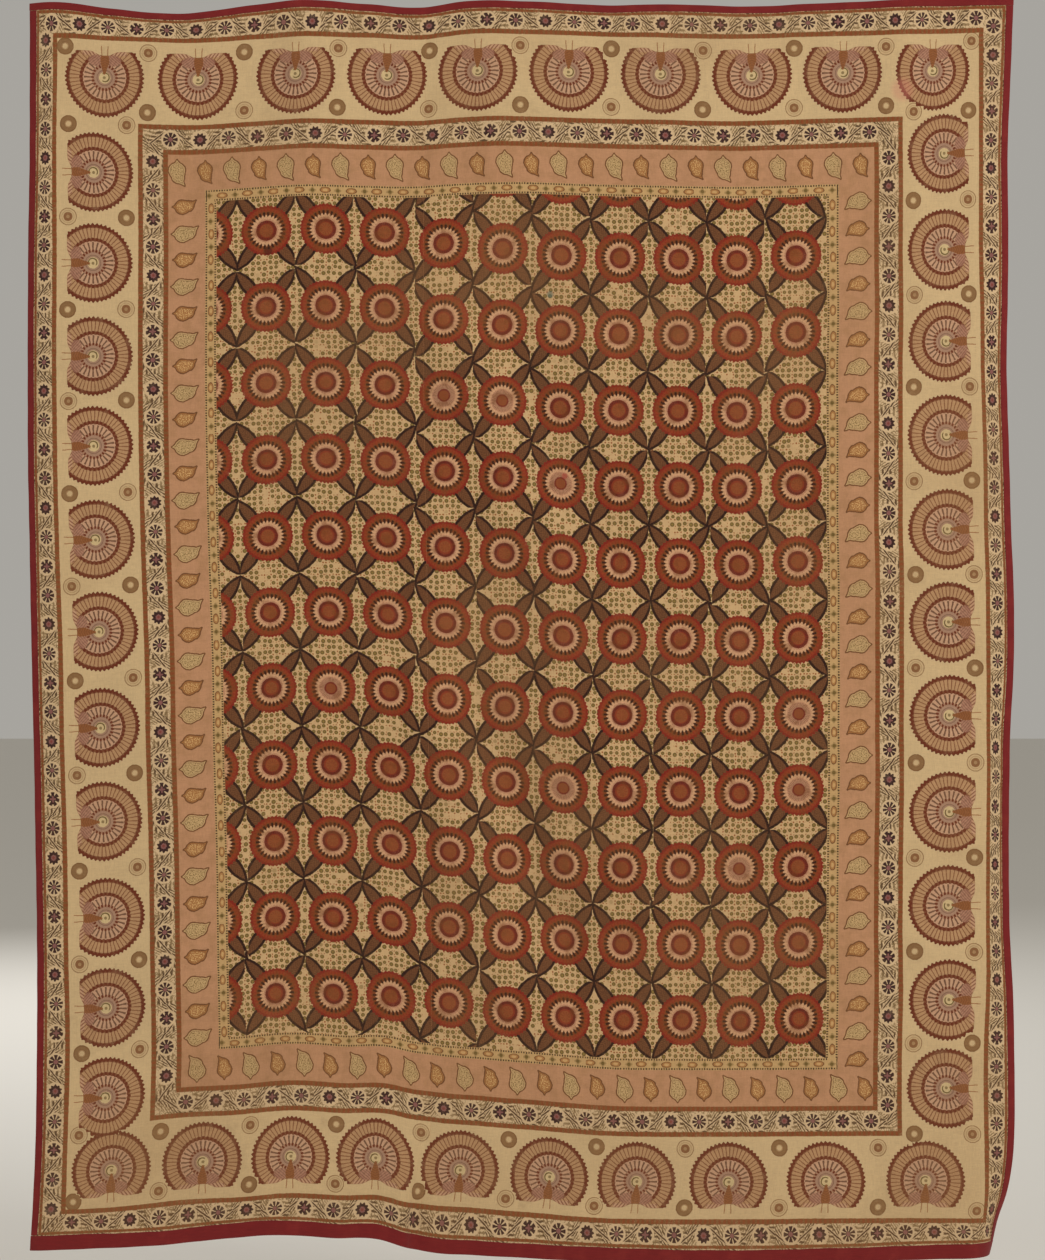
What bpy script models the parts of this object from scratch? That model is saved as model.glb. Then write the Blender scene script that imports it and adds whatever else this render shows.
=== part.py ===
"""Block printed cotton hanging, in metres, as it hangs by its top edge.

Two loom widths of cotton meet at an upright seam, and four folded strips bind the outer edges. The
cloth is set out flat first, across from the left edge and down from the top edge. hung() then gives
each flat place its place in space: the top sags between the points that hold it, the foot lifts left
of the seam, slanting buckles cross the middle, and the edges curl back. The front faces -Y, and the
origin is the middle of the top edge.
"""

from collections import namedtuple

import bmesh
import bpy
import numpy as np

# Driving dimensions. The loom widths and the strips are finished, flat sizes.
WIDTH = 1.92
HEIGHT = 2.46
SEAM_ACROSS = 0.775
TOP_STRIP = 0.015
SIDE_STRIP = 0.015
FOOT_STRIP = 0.030
CLOTH_THICKNESS = 0.0015
STRIP_THICKNESS = 0.0010
GAP = 0.0004

# A strip lies this far off the cloth's middle and is creased at the edge. The raw edge of the cloth ends
# a little way inside the crease.
RAW_EDGE_ROOM = 0.0006
STRIP_OFFSET = CLOTH_THICKNESS / 2 + GAP + STRIP_THICKNESS / 2
CREASE_START = STRIP_OFFSET + STRIP_THICKNESS / 2
CLOTH_INSET = CREASE_START + RAW_EDGE_ROOM

# The mesh takes a station at least this often, and more where the cloth turns sharply.
STATION_STEP = 0.064
LEAST_STEP = 0.012
RIPPLE_STATIONS = (0.715, 0.729, 0.739, 0.748, 0.757, 0.766)
LEFT_CURL_STATIONS = (0.030, 0.045)
RIGHT_CURL_STATIONS = (0.026, 0.038, 0.052, 0.070)
SEAM_STATIONS = (0.790, 0.810)
CORNER_STATIONS = (2.16, 2.21, 2.255, 2.295, 2.33, 2.36, 2.385, 2.41)

TopRow = namedtuple("TopRow", "across sag")
FootRow = namedtuple("FootRow", "across lift")
SideRow = namedtuple("SideRow", "down left right")
CurlRow = namedtuple("CurlRow", "down left_turn right_turn")
RippleRow = namedtuple("RippleRow", "down share")
Fold = namedtuple("Fold", "top_across top_down foot_across foot_down rise width")

# How far the top edge hangs below the origin's height.
TOP_EDGE = (
    TopRow(0.00, 0.003), TopRow(0.05, 0.001), TopRow(0.16, 0.013), TopRow(0.30, 0.022),
    TopRow(0.44, 0.006), TopRow(0.53, -0.002), TopRow(0.66, 0.005), TopRow(0.76, 0.011),
    TopRow(0.85, 0.000), TopRow(0.96, 0.000), TopRow(1.15, 0.007), TopRow(1.23, 0.005),
    TopRow(1.40, 0.009), TopRow(1.55, 0.003), TopRow(1.70, -0.002), TopRow(1.92, -0.008),
)
SAG_FADE = 0.30
SAG_FALLS_BACK = 0.45

# How far the bottom edge is drawn up. The lift grows from the top of the printed field to its foot.
FOOT_EDGE = (
    FootRow(0.00, 0.021), FootRow(0.12, 0.027), FootRow(0.25, 0.033), FootRow(0.39, 0.048),
    FootRow(0.48, 0.056), FootRow(0.60, 0.051), FootRow(0.69, 0.049), FootRow(0.74, 0.033),
    FootRow(0.80, 0.020), FootRow(0.88, 0.014), FootRow(1.00, 0.008), FootRow(1.15, 0.000),
    FootRow(1.60, -0.001), FootRow(1.75, 0.005), FootRow(1.92, 0.008),
)
LIFT_STARTS = 0.39
LIFT_IS_FULL = 2.05

# How far the side edges wander, to the right if above zero.
SIDE_EDGES = (
    SideRow(0.00, -0.003, 0.003), SideRow(0.30, -0.004, -0.006), SideRow(0.50, -0.007, -0.006),
    SideRow(0.70, -0.008, -0.005), SideRow(0.90, -0.007, -0.001), SideRow(1.07, -0.004, 0.002),
    SideRow(1.27, 0.000, 0.003), SideRow(1.46, 0.004, 0.003), SideRow(1.66, 0.008, 0.001),
    SideRow(1.85, 0.011, 0.002), SideRow(2.05, 0.011, 0.002), SideRow(2.24, 0.008, 0.003),
    SideRow(2.36, 0.003, 0.001), SideRow(2.46, -0.003, -0.009),
)

# How far the side edges turn back, in radians, over a stretch of this reach.
CURLS = (
    CurlRow(0.00, 0.30, 0.20), CurlRow(0.60, 0.55, 0.45), CurlRow(1.20, 0.45, 0.25),
    CurlRow(1.90, 0.30, 0.25), CurlRow(2.15, 0.30, 0.27), CurlRow(2.30, 0.35, 0.50),
    CurlRow(2.38, 0.40, 0.95), CurlRow(2.46, 0.45, 1.40),
)
LEFT_CURL_REACH = 0.045
RIGHT_CURL_REACH = 0.070
LEAST_TURN = 1e-4
REACH_STEPS = 640

# The foot left of the seam stands forward, and drops back in one steep ripple beside the seam.
RIPPLE_ACROSS = 0.748
RIPPLE_RISE = 0.028
RIPPLE_HALF_WIDTH = 0.010
RIPPLE_SPREAD = 0.30
RIPPLE_HEIGHTS = (
    RippleRow(0.00, 0.00), RippleRow(1.90, 0.00), RippleRow(2.10, 0.05), RippleRow(2.22, 0.20),
    RippleRow(2.30, 0.65), RippleRow(2.37, 1.00), RippleRow(2.46, 1.00),
)

# Slanting buckles and the seam's furrow, as ridges towards the viewer, or troughs if below zero.
FOLDS = (
    Fold(0.76, 0.46, 1.09, 1.27, 0.013, 0.060),
    Fold(0.87, 0.54, 1.20, 1.20, -0.011, 0.055),
    Fold(0.71, 1.15, 0.95, 2.14, 0.012, 0.055),
    Fold(0.82, 1.20, 1.11, 2.06, -0.020, 0.052),
    Fold(1.02, 1.20, 1.28, 2.00, 0.009, 0.060),
    Fold(0.30, 0.10, 0.34, 0.75, -0.009, 0.090),
    Fold(0.52, -0.25, 0.56, 0.50, 0.009, 0.050),
    Fold(0.89, -0.25, 0.93, 0.45, 0.008, 0.050),
    Fold(1.72, -0.25, 1.69, 0.55, 0.009, 0.060),
    Fold(1.60, 0.40, 1.66, 1.40, 0.010, 0.085),
    Fold(1.36, 1.30, 1.44, 2.30, -0.010, 0.100),
    Fold(0.22, 0.95, 0.29, 2.20, 0.011, 0.090),
    Fold(SEAM_ACROSS, -0.90, SEAM_ACROSS, 3.40, -0.003, 0.014),
)
FOLD_END_SHARE = 0.30

Finish = namedtuple("Finish", "colour roughness")
COTTON = Finish((0.60, 0.42, 0.22, 1.0), 0.9)
CRIMSON = Finish((0.26, 0.012, 0.016, 1.0), 0.85)


def curve_through(rows, column, place):
    """The value at a place of the smooth curve through one column of a table."""
    places = np.array([row[0] for row in rows])
    values = np.array([getattr(row, column) for row in rows])
    slopes = np.gradient(values, places)
    row = np.clip(np.searchsorted(places, place) - 1, 0, len(places) - 2)
    span = places[row + 1] - places[row]
    share = np.clip((place - places[row]) / span, 0, 1)
    ease = share * share * (3 - 2 * share)
    level = values[row] * (1 - ease) + values[row + 1] * ease
    bend = slopes[row] * (1 - share) - slopes[row + 1] * share
    return level + span * share * (1 - share) * bend


def ramp(value, start, end):
    """0 before start, 1 after end, and smooth between them."""
    share = np.clip((value - start) / (end - start), 0, 1)
    return share * share * (3 - 2 * share)


def fold_rise(fold, across, down):
    """How far one slanting ridge or trough brings the cloth forward."""
    run_across = fold.foot_across - fold.top_across
    run_down = fold.foot_down - fold.top_down
    length = np.hypot(run_across, run_down)
    from_across = across - fold.top_across
    from_down = down - fold.top_down
    share = (from_across * run_across + from_down * run_down) / length**2
    aside = (from_across * run_down - from_down * run_across) / length
    ends = ramp(share, 0, FOLD_END_SHARE) * ramp(1 - share, 0, FOLD_END_SHARE)
    return fold.rise * ends * np.exp(-((aside / fold.width) ** 2))


def curl_depth(from_start, reach, turn):
    """How far back a stretch lies whose turn grows evenly over its reach."""
    radius = reach / np.maximum(turn, LEAST_TURN)
    return radius * (1 - np.cos(np.clip(from_start, 0, reach) / radius))


def depth(across, down):
    """How far behind the plane of the top edge the cloth hangs."""
    ripple = (1 - np.tanh((across - RIPPLE_ACROSS) / RIPPLE_HALF_WIDTH)) / 2
    ripple = ripple * np.exp(-(((across - RIPPLE_ACROSS) / RIPPLE_SPREAD) ** 2))
    back = -RIPPLE_RISE * ripple * curve_through(RIPPLE_HEIGHTS, "share", down)
    back = back + SAG_FALLS_BACK * curve_through(TOP_EDGE, "sag", across) * np.exp(-down / SAG_FADE)
    for fold in FOLDS:
        back = back - fold_rise(fold, across, down)
    left_turn = curve_through(CURLS, "left_turn", down)
    right_turn = curve_through(CURLS, "right_turn", down)
    back = back + curl_depth(LEFT_CURL_REACH - across, LEFT_CURL_REACH, left_turn)
    return back + curl_depth(across - WIDTH + RIGHT_CURL_REACH, RIGHT_CURL_REACH, right_turn)


def reach_across(across, down):
    """How far from its left edge the cloth reaches, less what its folds take up."""
    shares = np.linspace(0, 1, REACH_STEPS + 1)
    places = across[..., None] * shares
    downs = np.broadcast_to(down[..., None], places.shape)
    rise = np.diff(depth(places, downs), axis=-1)
    run = across[..., None] / REACH_STEPS
    return np.sqrt(np.maximum(run**2 - rise**2, 0)).sum(axis=-1)


def hung(across, down):
    """The places in space of flat places on the cloth, as an array with x, y and z last."""
    across, down = np.broadcast_arrays(np.asarray(across, float), np.asarray(down, float))
    share = across / WIDTH
    left = curve_through(SIDE_EDGES, "left", down)
    right = curve_through(SIDE_EDGES, "right", down)
    x = reach_across(across, down) - WIDTH / 2 + left * (1 - share) + right * share
    sag = curve_through(TOP_EDGE, "sag", across) * np.exp(-down / SAG_FADE)
    lift_share = np.clip((down - LIFT_STARTS) / (LIFT_IS_FULL - LIFT_STARTS), 0, 1)
    lift = curve_through(FOOT_EDGE, "lift", across) * lift_share
    return np.stack([x, depth(across, down), lift - down - sag], axis=-1)


def mitred_normals(line, aside):
    """Offsets of a line's points that keep its straight stretches parallel, towards the cloth's back."""
    run = np.diff(line, axis=0)
    flank = np.cross((aside[1:] + aside[:-1]) / 2, run)
    flank = flank / np.linalg.norm(flank, axis=1, keepdims=True)
    before = np.concatenate([flank[:1], flank])
    after = np.concatenate([flank, flank[-1:]])
    return (before + after) / (1 + (before * after).sum(axis=1, keepdims=True))


def stations(start, end, extra=()):
    """Evenly spaced stations from start to end, with some more put in between."""
    count = int(np.ceil((end - start) / STATION_STEP))
    even = np.linspace(start, end, count + 1)
    inner = [place for place in extra if start < place < end]
    clear = [place for place in even[1:-1] if all(abs(place - other) > LEAST_STEP for other in inner)]
    return np.array(sorted([start, end, *clear, *inner]))


def make_material(name, finish):
    material = bpy.data.materials.new(name)
    material.use_nodes = True
    shader = material.node_tree.nodes["Principled BSDF"]
    shader.inputs["Base Color"].default_value = finish.colour
    shader.inputs["Roughness"].default_value = finish.roughness
    shader.inputs["Metallic"].default_value = 0.0
    material.diffuse_color = finish.colour
    return material


def make_sheet(name, points, thickness, finish, collection, holder):
    """A thin sheet through a grid of points: an open grid, thickened by Solidify to both sides.

    Every four-sided face is split from its upper left to its lower right corner, so that sheets which
    lie on each other bend alike.
    """
    rows, columns = points.shape[:2]
    sheet = bmesh.new()
    bmesh.ops.create_grid(sheet, x_segments=columns - 1, y_segments=rows - 1, size=0.5)
    for vertex in sheet.verts:
        column = round((vertex.co.x + 0.5) * (columns - 1))
        row = round((vertex.co.y + 0.5) * (rows - 1))
        vertex.co = points[row, column]
    for face in list(sheet.faces):
        slant = [corner.co.x - corner.co.z for corner in face.verts]
        start = 0 if abs(slant[2] - slant[0]) > abs(slant[3] - slant[1]) else 1
        bmesh.utils.face_split(face, face.verts[start], face.verts[start + 2])
    mesh = bpy.data.meshes.new(name)
    sheet.to_mesh(mesh)
    sheet.free()
    mesh.materials.append(make_material(name, finish))
    mesh.shade_smooth()
    piece = bpy.data.objects.new(name, mesh)
    collection.objects.link(piece)
    piece.parent = holder
    solidify = piece.modifiers.new("Thickness", "SOLIDIFY")
    solidify.thickness = thickness
    solidify.offset = 0
    solidify.use_even_offset = True
    return piece


def cloth_points(across_stations, down_stations):
    across, down = np.meshgrid(across_stations, down_stations[::-1])
    return hung(across, down)


def strip_profile(width):
    """Places across a folded strip, as (distance in from the fold, distance behind the cloth)."""
    front = [(width, -STRIP_OFFSET), (CREASE_START, -STRIP_OFFSET)]
    back = [(CREASE_START, STRIP_OFFSET), (width, STRIP_OFFSET)]
    return [*front, (STRIP_THICKNESS / 2, 0), *back]


def strip_points(places, width, flat_place):
    """A folded strip's grid. flat_place turns (place along, distance in) into flat places."""

    def line(inward):
        return hung(*flat_place(places, np.full_like(places, inward)))

    backwards = mitred_normals(line(width / 2), line(width) - line(0))
    facing = np.sign(backwards[:, 1].sum())
    return np.array(
        [line(inward) + facing * behind * backwards for inward, behind in strip_profile(width)]
    )


def make_cloth(collection, holder):
    downs = stations(TOP_STRIP, HEIGHT - FOOT_STRIP, CORNER_STATIONS)
    downs = np.concatenate([[CLOTH_INSET], downs, [HEIGHT - CLOTH_INSET]])
    left_extra = (*LEFT_CURL_STATIONS, *RIPPLE_STATIONS)
    right_extra = (*SEAM_STATIONS, *(WIDTH - inward for inward in RIGHT_CURL_STATIONS))
    left = stations(SIDE_STRIP, SEAM_ACROSS - GAP / 2, left_extra)
    right = stations(SEAM_ACROSS + GAP / 2, WIDTH - SIDE_STRIP, right_extra)
    left = np.concatenate([[CLOTH_INSET], left])
    right = np.concatenate([right, [WIDTH - CLOTH_INSET]])
    for name, acrosses in (("cloth_left", left), ("cloth_right", right)):
        make_sheet(name, cloth_points(acrosses, downs), CLOTH_THICKNESS, COTTON, collection, holder)
    return np.concatenate([[0], left[:-1], [SEAM_ACROSS], right[1:], [WIDTH]]), downs


def make_strips(acrosses, downs, collection, holder):
    inside = downs[(downs > TOP_STRIP + GAP) & (downs < HEIGHT - FOOT_STRIP - GAP)]
    side_places = np.concatenate([[TOP_STRIP + GAP], inside, [HEIGHT - FOOT_STRIP - GAP]])
    grids = {
        "binding_top": strip_points(acrosses, TOP_STRIP, lambda place, inward: (place, inward)),
        "binding_bottom": strip_points(
            acrosses, FOOT_STRIP, lambda place, inward: (place, HEIGHT - inward)
        )[:, ::-1],
        "binding_left": strip_points(
            side_places, SIDE_STRIP, lambda place, inward: (inward, place)
        )[:, ::-1],
        "binding_right": strip_points(
            side_places, SIDE_STRIP, lambda place, inward: (WIDTH - inward, place)
        ),
    }
    for name, points in grids.items():
        make_sheet(name, points, STRIP_THICKNESS, CRIMSON, collection, holder)


def main():
    for piece in list(bpy.data.objects):
        bpy.data.objects.remove(piece)
    collection = bpy.data.collections.new("Block printed cotton hanging")
    bpy.context.scene.collection.children.link(collection)
    holder = bpy.data.objects.new("hanging_top_edge", None)
    collection.objects.link(holder)
    acrosses, downs = make_cloth(collection, holder)
    make_strips(acrosses, downs, collection, holder)


main()
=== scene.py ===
from collections import namedtuple

import bmesh
import bpy
import numpy as np
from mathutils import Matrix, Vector


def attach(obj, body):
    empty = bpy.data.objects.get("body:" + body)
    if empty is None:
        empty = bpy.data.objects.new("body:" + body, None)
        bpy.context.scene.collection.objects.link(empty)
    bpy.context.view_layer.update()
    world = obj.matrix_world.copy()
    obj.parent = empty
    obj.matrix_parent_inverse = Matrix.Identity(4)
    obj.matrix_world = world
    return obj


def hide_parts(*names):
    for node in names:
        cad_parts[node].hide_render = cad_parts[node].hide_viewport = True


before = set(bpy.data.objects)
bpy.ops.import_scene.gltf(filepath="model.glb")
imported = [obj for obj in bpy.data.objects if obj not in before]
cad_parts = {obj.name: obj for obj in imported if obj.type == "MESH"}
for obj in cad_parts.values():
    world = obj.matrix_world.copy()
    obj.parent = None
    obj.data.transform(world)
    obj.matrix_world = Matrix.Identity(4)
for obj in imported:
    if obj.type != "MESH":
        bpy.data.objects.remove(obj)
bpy.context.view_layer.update()  # bodies, nodes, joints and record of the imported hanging

bl_info = {
    "name": "Block Printed Hanging",
    "version": (1, 0, 0),
    "blender": (4, 5, 0),
    "location": "3D View > Sidebar > Hanging",
    "description": "Block printed cotton, its bound edges and its stitching, on the solids of a hanging",
    "category": "Add Mesh",
}

BODY = "root"
COTTON_SLOT = "printed_cotton"
BINDING_SLOT = "crimson_binding"
STRIPS = ("binding_top", "binding_bottom", "binding_left", "binding_right")

# The flat cloth, in metres: across from the left edge and down from the top edge.
WIDTH = 1.92
HEIGHT = 2.46
SEAM_ACROSS = 0.775
TOP_STRIP = 0.015
SIDE_STRIP = 0.015
FOOT_STRIP = 0.030
SEAM_GAP = 0.0001

TopRow = namedtuple("TopRow", "across sag")
FootRow = namedtuple("FootRow", "across lift")
SideRow = namedtuple("SideRow", "down left right")
CurlRow = namedtuple("CurlRow", "down left_turn right_turn")
RippleRow = namedtuple("RippleRow", "down share")
Fold = namedtuple("Fold", "top_across top_down foot_across foot_down rise width")

# How far the top edge hangs below the origin's height.
TOP_EDGE = (
    TopRow(0.00, 0.003), TopRow(0.05, 0.001), TopRow(0.16, 0.013), TopRow(0.30, 0.022),
    TopRow(0.44, 0.006), TopRow(0.53, -0.002), TopRow(0.66, 0.005), TopRow(0.76, 0.011),
    TopRow(0.85, 0.000), TopRow(0.96, 0.000), TopRow(1.15, 0.007), TopRow(1.23, 0.005),
    TopRow(1.40, 0.009), TopRow(1.55, 0.003), TopRow(1.70, -0.002), TopRow(1.92, -0.008),
)
SAG_FADE = 0.30
SAG_FALLS_BACK = 0.45

# How far the bottom edge is drawn up. The lift grows from the top of the printed field to its foot.
FOOT_EDGE = (
    FootRow(0.00, 0.021), FootRow(0.12, 0.027), FootRow(0.25, 0.033), FootRow(0.39, 0.048),
    FootRow(0.48, 0.056), FootRow(0.60, 0.051), FootRow(0.69, 0.049), FootRow(0.74, 0.033),
    FootRow(0.80, 0.020), FootRow(0.88, 0.014), FootRow(1.00, 0.008), FootRow(1.15, 0.000),
    FootRow(1.60, -0.001), FootRow(1.75, 0.005), FootRow(1.92, 0.008),
)
LIFT_STARTS = 0.39
LIFT_IS_FULL = 2.05

# How far the side edges wander, to the right if above zero.
SIDE_EDGES = (
    SideRow(0.00, -0.003, 0.003), SideRow(0.30, -0.004, -0.006), SideRow(0.50, -0.007, -0.006),
    SideRow(0.70, -0.008, -0.005), SideRow(0.90, -0.007, -0.001), SideRow(1.07, -0.004, 0.002),
    SideRow(1.27, 0.000, 0.003), SideRow(1.46, 0.004, 0.003), SideRow(1.66, 0.008, 0.001),
    SideRow(1.85, 0.011, 0.002), SideRow(2.05, 0.011, 0.002), SideRow(2.24, 0.008, 0.003),
    SideRow(2.36, 0.003, 0.001), SideRow(2.46, -0.003, -0.009),
)

# How far the side edges turn back, in radians, over a stretch of this reach.
CURLS = (
    CurlRow(0.00, 0.30, 0.20), CurlRow(0.60, 0.55, 0.45), CurlRow(1.20, 0.45, 0.25),
    CurlRow(1.90, 0.30, 0.25), CurlRow(2.15, 0.30, 0.27), CurlRow(2.30, 0.35, 0.50),
    CurlRow(2.38, 0.40, 0.95), CurlRow(2.46, 0.45, 1.40),
)
LEFT_CURL_REACH = 0.045
RIGHT_CURL_REACH = 0.070
LEAST_TURN = 1e-4

# The foot left of the seam stands forward, and drops back in one steep ripple beside the seam.
RIPPLE_ACROSS = 0.748
RIPPLE_RISE = 0.028
RIPPLE_HALF_WIDTH = 0.0145
RIPPLE_SPREAD = 0.30
RIPPLE_HEIGHTS = (
    RippleRow(0.00, 0.00), RippleRow(1.90, 0.00), RippleRow(2.10, 0.05), RippleRow(2.22, 0.20),
    RippleRow(2.30, 0.65), RippleRow(2.37, 1.00), RippleRow(2.46, 1.00),
)

# The solids' slanting buckles and the seam's furrow, as ridges forward, or troughs if below zero.
FOLDS = (
    Fold(0.76, 0.46, 1.09, 1.27, 0.013, 0.060),
    Fold(0.87, 0.54, 1.20, 1.20, -0.011, 0.055),
    Fold(0.71, 1.15, 0.95, 2.14, 0.012, 0.055),
    Fold(0.82, 1.20, 1.11, 2.06, -0.020, 0.052),
    Fold(1.02, 1.20, 1.28, 2.00, 0.009, 0.060),
    Fold(0.30, 0.10, 0.34, 0.75, -0.009, 0.090),
    Fold(0.52, -0.25, 0.56, 0.50, 0.009, 0.050),
    Fold(0.89, -0.25, 0.93, 0.45, 0.008, 0.050),
    Fold(1.72, -0.25, 1.69, 0.55, 0.009, 0.060),
    Fold(1.60, 0.40, 1.66, 1.40, 0.010, 0.085),
    Fold(1.36, 1.30, 1.44, 2.30, -0.010, 0.100),
    Fold(0.22, 0.95, 0.29, 2.20, 0.011, 0.090),
    Fold(SEAM_ACROSS, -0.90, SEAM_ACROSS, 3.40, -0.003, 0.014),
)
FOLD_END_SHARE = 0.30

# Smaller creases that only the dressed cloth has.
CREASES = (
    Fold(0.70, 2.22, 0.735, 2.46, 0.0030, 0.008),
    Fold(0.66, 2.30, 0.68, 2.46, -0.0022, 0.012),
    Fold(0.86, 0.86, 1.03, 1.22, 0.0030, 0.016),
    Fold(0.93, 0.92, 1.12, 1.30, -0.0026, 0.018),
    Fold(0.88, 1.42, 1.05, 1.98, -0.0032, 0.018),
    Fold(0.80, 1.30, 0.90, 1.80, 0.0024, 0.016),
    Fold(0.99, 1.52, 1.13, 1.90, 0.0026, 0.014),
    Fold(0.42, 2.28, 0.50, 2.50, 0.0030, 0.022),
    Fold(0.28, 2.30, 0.33, 2.52, -0.0026, 0.024),
    Fold(1.10, 2.20, 1.02, 2.52, 0.0026, 0.026),
    Fold(1.38, 2.26, 1.33, 2.52, -0.0024, 0.026),
    Fold(0.58, -0.08, 0.62, 0.22, 0.0026, 0.020),
    Fold(1.25, -0.08, 1.28, 0.20, -0.0022, 0.024),
    Fold(1.50, -0.08, 1.47, 0.26, 0.0024, 0.022),
    Fold(1.76, 1.95, 1.86, 2.30, 0.0030, 0.018),
)

Wave = namedtuple("Wave", "length_across length_down start rise")
SOFT_WAVES = (
    Wave(0.31, 0.90, 0.4, 0.0010), Wave(0.17, -0.42, 1.9, 0.0007), Wave(-0.95, 0.24, 2.6, 0.0007),
    Wave(0.105, 0.37, 5.1, 0.0004), Wave(0.33, 0.092, 0.9, 0.0004), Wave(0.071, -0.19, 3.7, 0.0002),
)
SEAM_PUCKER = Wave(0.018, 0.041, 0.0, 0.0006)
EDGE_PUCKER = Wave(0.030, 0.083, 0.7, 0.0010)

REACH_COLUMNS = 961
REACH_ROWS = 165


def smooth_curve(places, values, place):
    """The values of the smooth curve through some places, at other places."""
    slopes = np.gradient(values, places)
    row = np.clip(np.searchsorted(places, place) - 1, 0, len(places) - 2)
    span = places[row + 1] - places[row]
    share = np.clip((place - places[row]) / span, 0, 1)
    ease = share * share * (3 - 2 * share)
    level = values[row] * (1 - ease) + values[row + 1] * ease
    bend = slopes[row] * (1 - share) - slopes[row + 1] * share
    return level + span * share * (1 - share) * bend


def curve_through(rows, column, place):
    places = np.array([row[0] for row in rows])
    return smooth_curve(places, np.array([getattr(row, column) for row in rows]), place)


def ramp(value, start, end):
    """0 before start, 1 after end, and smooth between them."""
    share = np.clip((value - start) / (end - start), 0, 1)
    return share * share * (3 - 2 * share)


def fold_rise(fold, across, down):
    """How far one slanting ridge or trough brings the cloth forward."""
    run_across = fold.foot_across - fold.top_across
    run_down = fold.foot_down - fold.top_down
    length = np.hypot(run_across, run_down)
    from_across = across - fold.top_across
    from_down = down - fold.top_down
    share = (from_across * run_across + from_down * run_down) / length**2
    aside = (from_across * run_down - from_down * run_across) / length
    ends = ramp(share, 0, FOLD_END_SHARE) * ramp(1 - share, 0, FOLD_END_SHARE)
    return fold.rise * ends * np.exp(-((aside / fold.width) ** 2))


def curl_depth(from_start, reach, turn):
    """How far back a stretch lies whose turn grows evenly over its reach."""
    radius = reach / np.maximum(turn, LEAST_TURN)
    return radius * (1 - np.cos(np.clip(from_start, 0, reach) / radius))


def depth(across, down):
    """How far behind the plane of the top edge the solids' cloth hangs."""
    ripple = (1 - np.tanh((across - RIPPLE_ACROSS) / RIPPLE_HALF_WIDTH)) / 2
    ripple = ripple * np.exp(-(((across - RIPPLE_ACROSS) / RIPPLE_SPREAD) ** 2))
    back = -RIPPLE_RISE * ripple * curve_through(RIPPLE_HEIGHTS, "share", down)
    back = back + SAG_FALLS_BACK * curve_through(TOP_EDGE, "sag", across) * np.exp(-down / SAG_FADE)
    for fold in FOLDS:
        back = back - fold_rise(fold, across, down)
    left_turn = curve_through(CURLS, "left_turn", down)
    right_turn = curve_through(CURLS, "right_turn", down)
    back = back + curl_depth(LEFT_CURL_REACH - across, LEFT_CURL_REACH, left_turn)
    return back + curl_depth(across - WIDTH + RIGHT_CURL_REACH, RIGHT_CURL_REACH, right_turn)


def relief(across, down):
    """How far forward the small creases, the soft unevenness and the sewn edges' puckers stand."""
    rise = sum(fold_rise(crease, across, down) for crease in CREASES)
    for wave in SOFT_WAVES:
        turns = across / wave.length_across + down / wave.length_down
        rise = rise + wave.rise * np.sin(2 * np.pi * turns + wave.start)
    near_seam = np.exp(-(((across - SEAM_ACROSS) / SEAM_PUCKER.length_across) ** 2))
    rise = rise + SEAM_PUCKER.rise * near_seam * np.sin(2 * np.pi * down / SEAM_PUCKER.length_down)
    from_side = np.minimum(across, WIDTH - across)
    from_end = np.minimum(down, HEIGHT - down)
    at_side = np.exp(-((from_side / EDGE_PUCKER.length_across) ** 2))
    at_end = np.exp(-((from_end / EDGE_PUCKER.length_across) ** 2))
    rise = rise + EDGE_PUCKER.rise * at_side * np.sin(2 * np.pi * down / EDGE_PUCKER.length_down)
    turns = across / EDGE_PUCKER.length_down
    return rise + EDGE_PUCKER.rise * at_end * np.sin(2 * np.pi * turns + EDGE_PUCKER.start)


def reach_lattice():
    """The cloth's reach from its left edge, less what its folds take up, on a lattice of flat places."""
    acrosses = np.linspace(0, WIDTH, REACH_COLUMNS)
    downs = np.linspace(0, HEIGHT, REACH_ROWS)
    rise = np.diff(depth(*np.meshgrid(acrosses, downs)), axis=1)
    steps = np.sqrt(np.maximum(acrosses[1] ** 2 - rise**2, 0))
    return np.concatenate([np.zeros((REACH_ROWS, 1)), np.cumsum(steps, axis=1)], axis=1)


REACHES = reach_lattice()


def reach_across(across, down):
    column = np.clip(across / WIDTH, 0, 1) * (REACH_COLUMNS - 1)
    row = np.clip(down / HEIGHT, 0, 1) * (REACH_ROWS - 1)
    left = np.minimum(column.astype(int), REACH_COLUMNS - 2)
    upper = np.minimum(row.astype(int), REACH_ROWS - 2)
    over = column - left
    under = row - upper
    top = REACHES[upper, left] * (1 - over) + REACHES[upper, left + 1] * over
    foot = REACHES[upper + 1, left] * (1 - over) + REACHES[upper + 1, left + 1] * over
    return top * (1 - under) + foot * under


def hung(across, down):
    """The places in space of flat places on the cloth, as an array with x, y and z last."""
    across, down = np.broadcast_arrays(np.asarray(across, float), np.asarray(down, float))
    share = across / WIDTH
    left = curve_through(SIDE_EDGES, "left", down)
    right = curve_through(SIDE_EDGES, "right", down)
    x = reach_across(across, down) - WIDTH / 2 + left * (1 - share) + right * share
    sag = curve_through(TOP_EDGE, "sag", across) * np.exp(-down / SAG_FADE)
    lift_share = np.clip((down - LIFT_STARTS) / (LIFT_IS_FULL - LIFT_STARTS), 0, 1)
    lift = curve_through(FOOT_EDGE, "lift", across) * lift_share
    return np.stack([x, depth(across, down) - relief(across, down), lift - down - sag], axis=-1)


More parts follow.
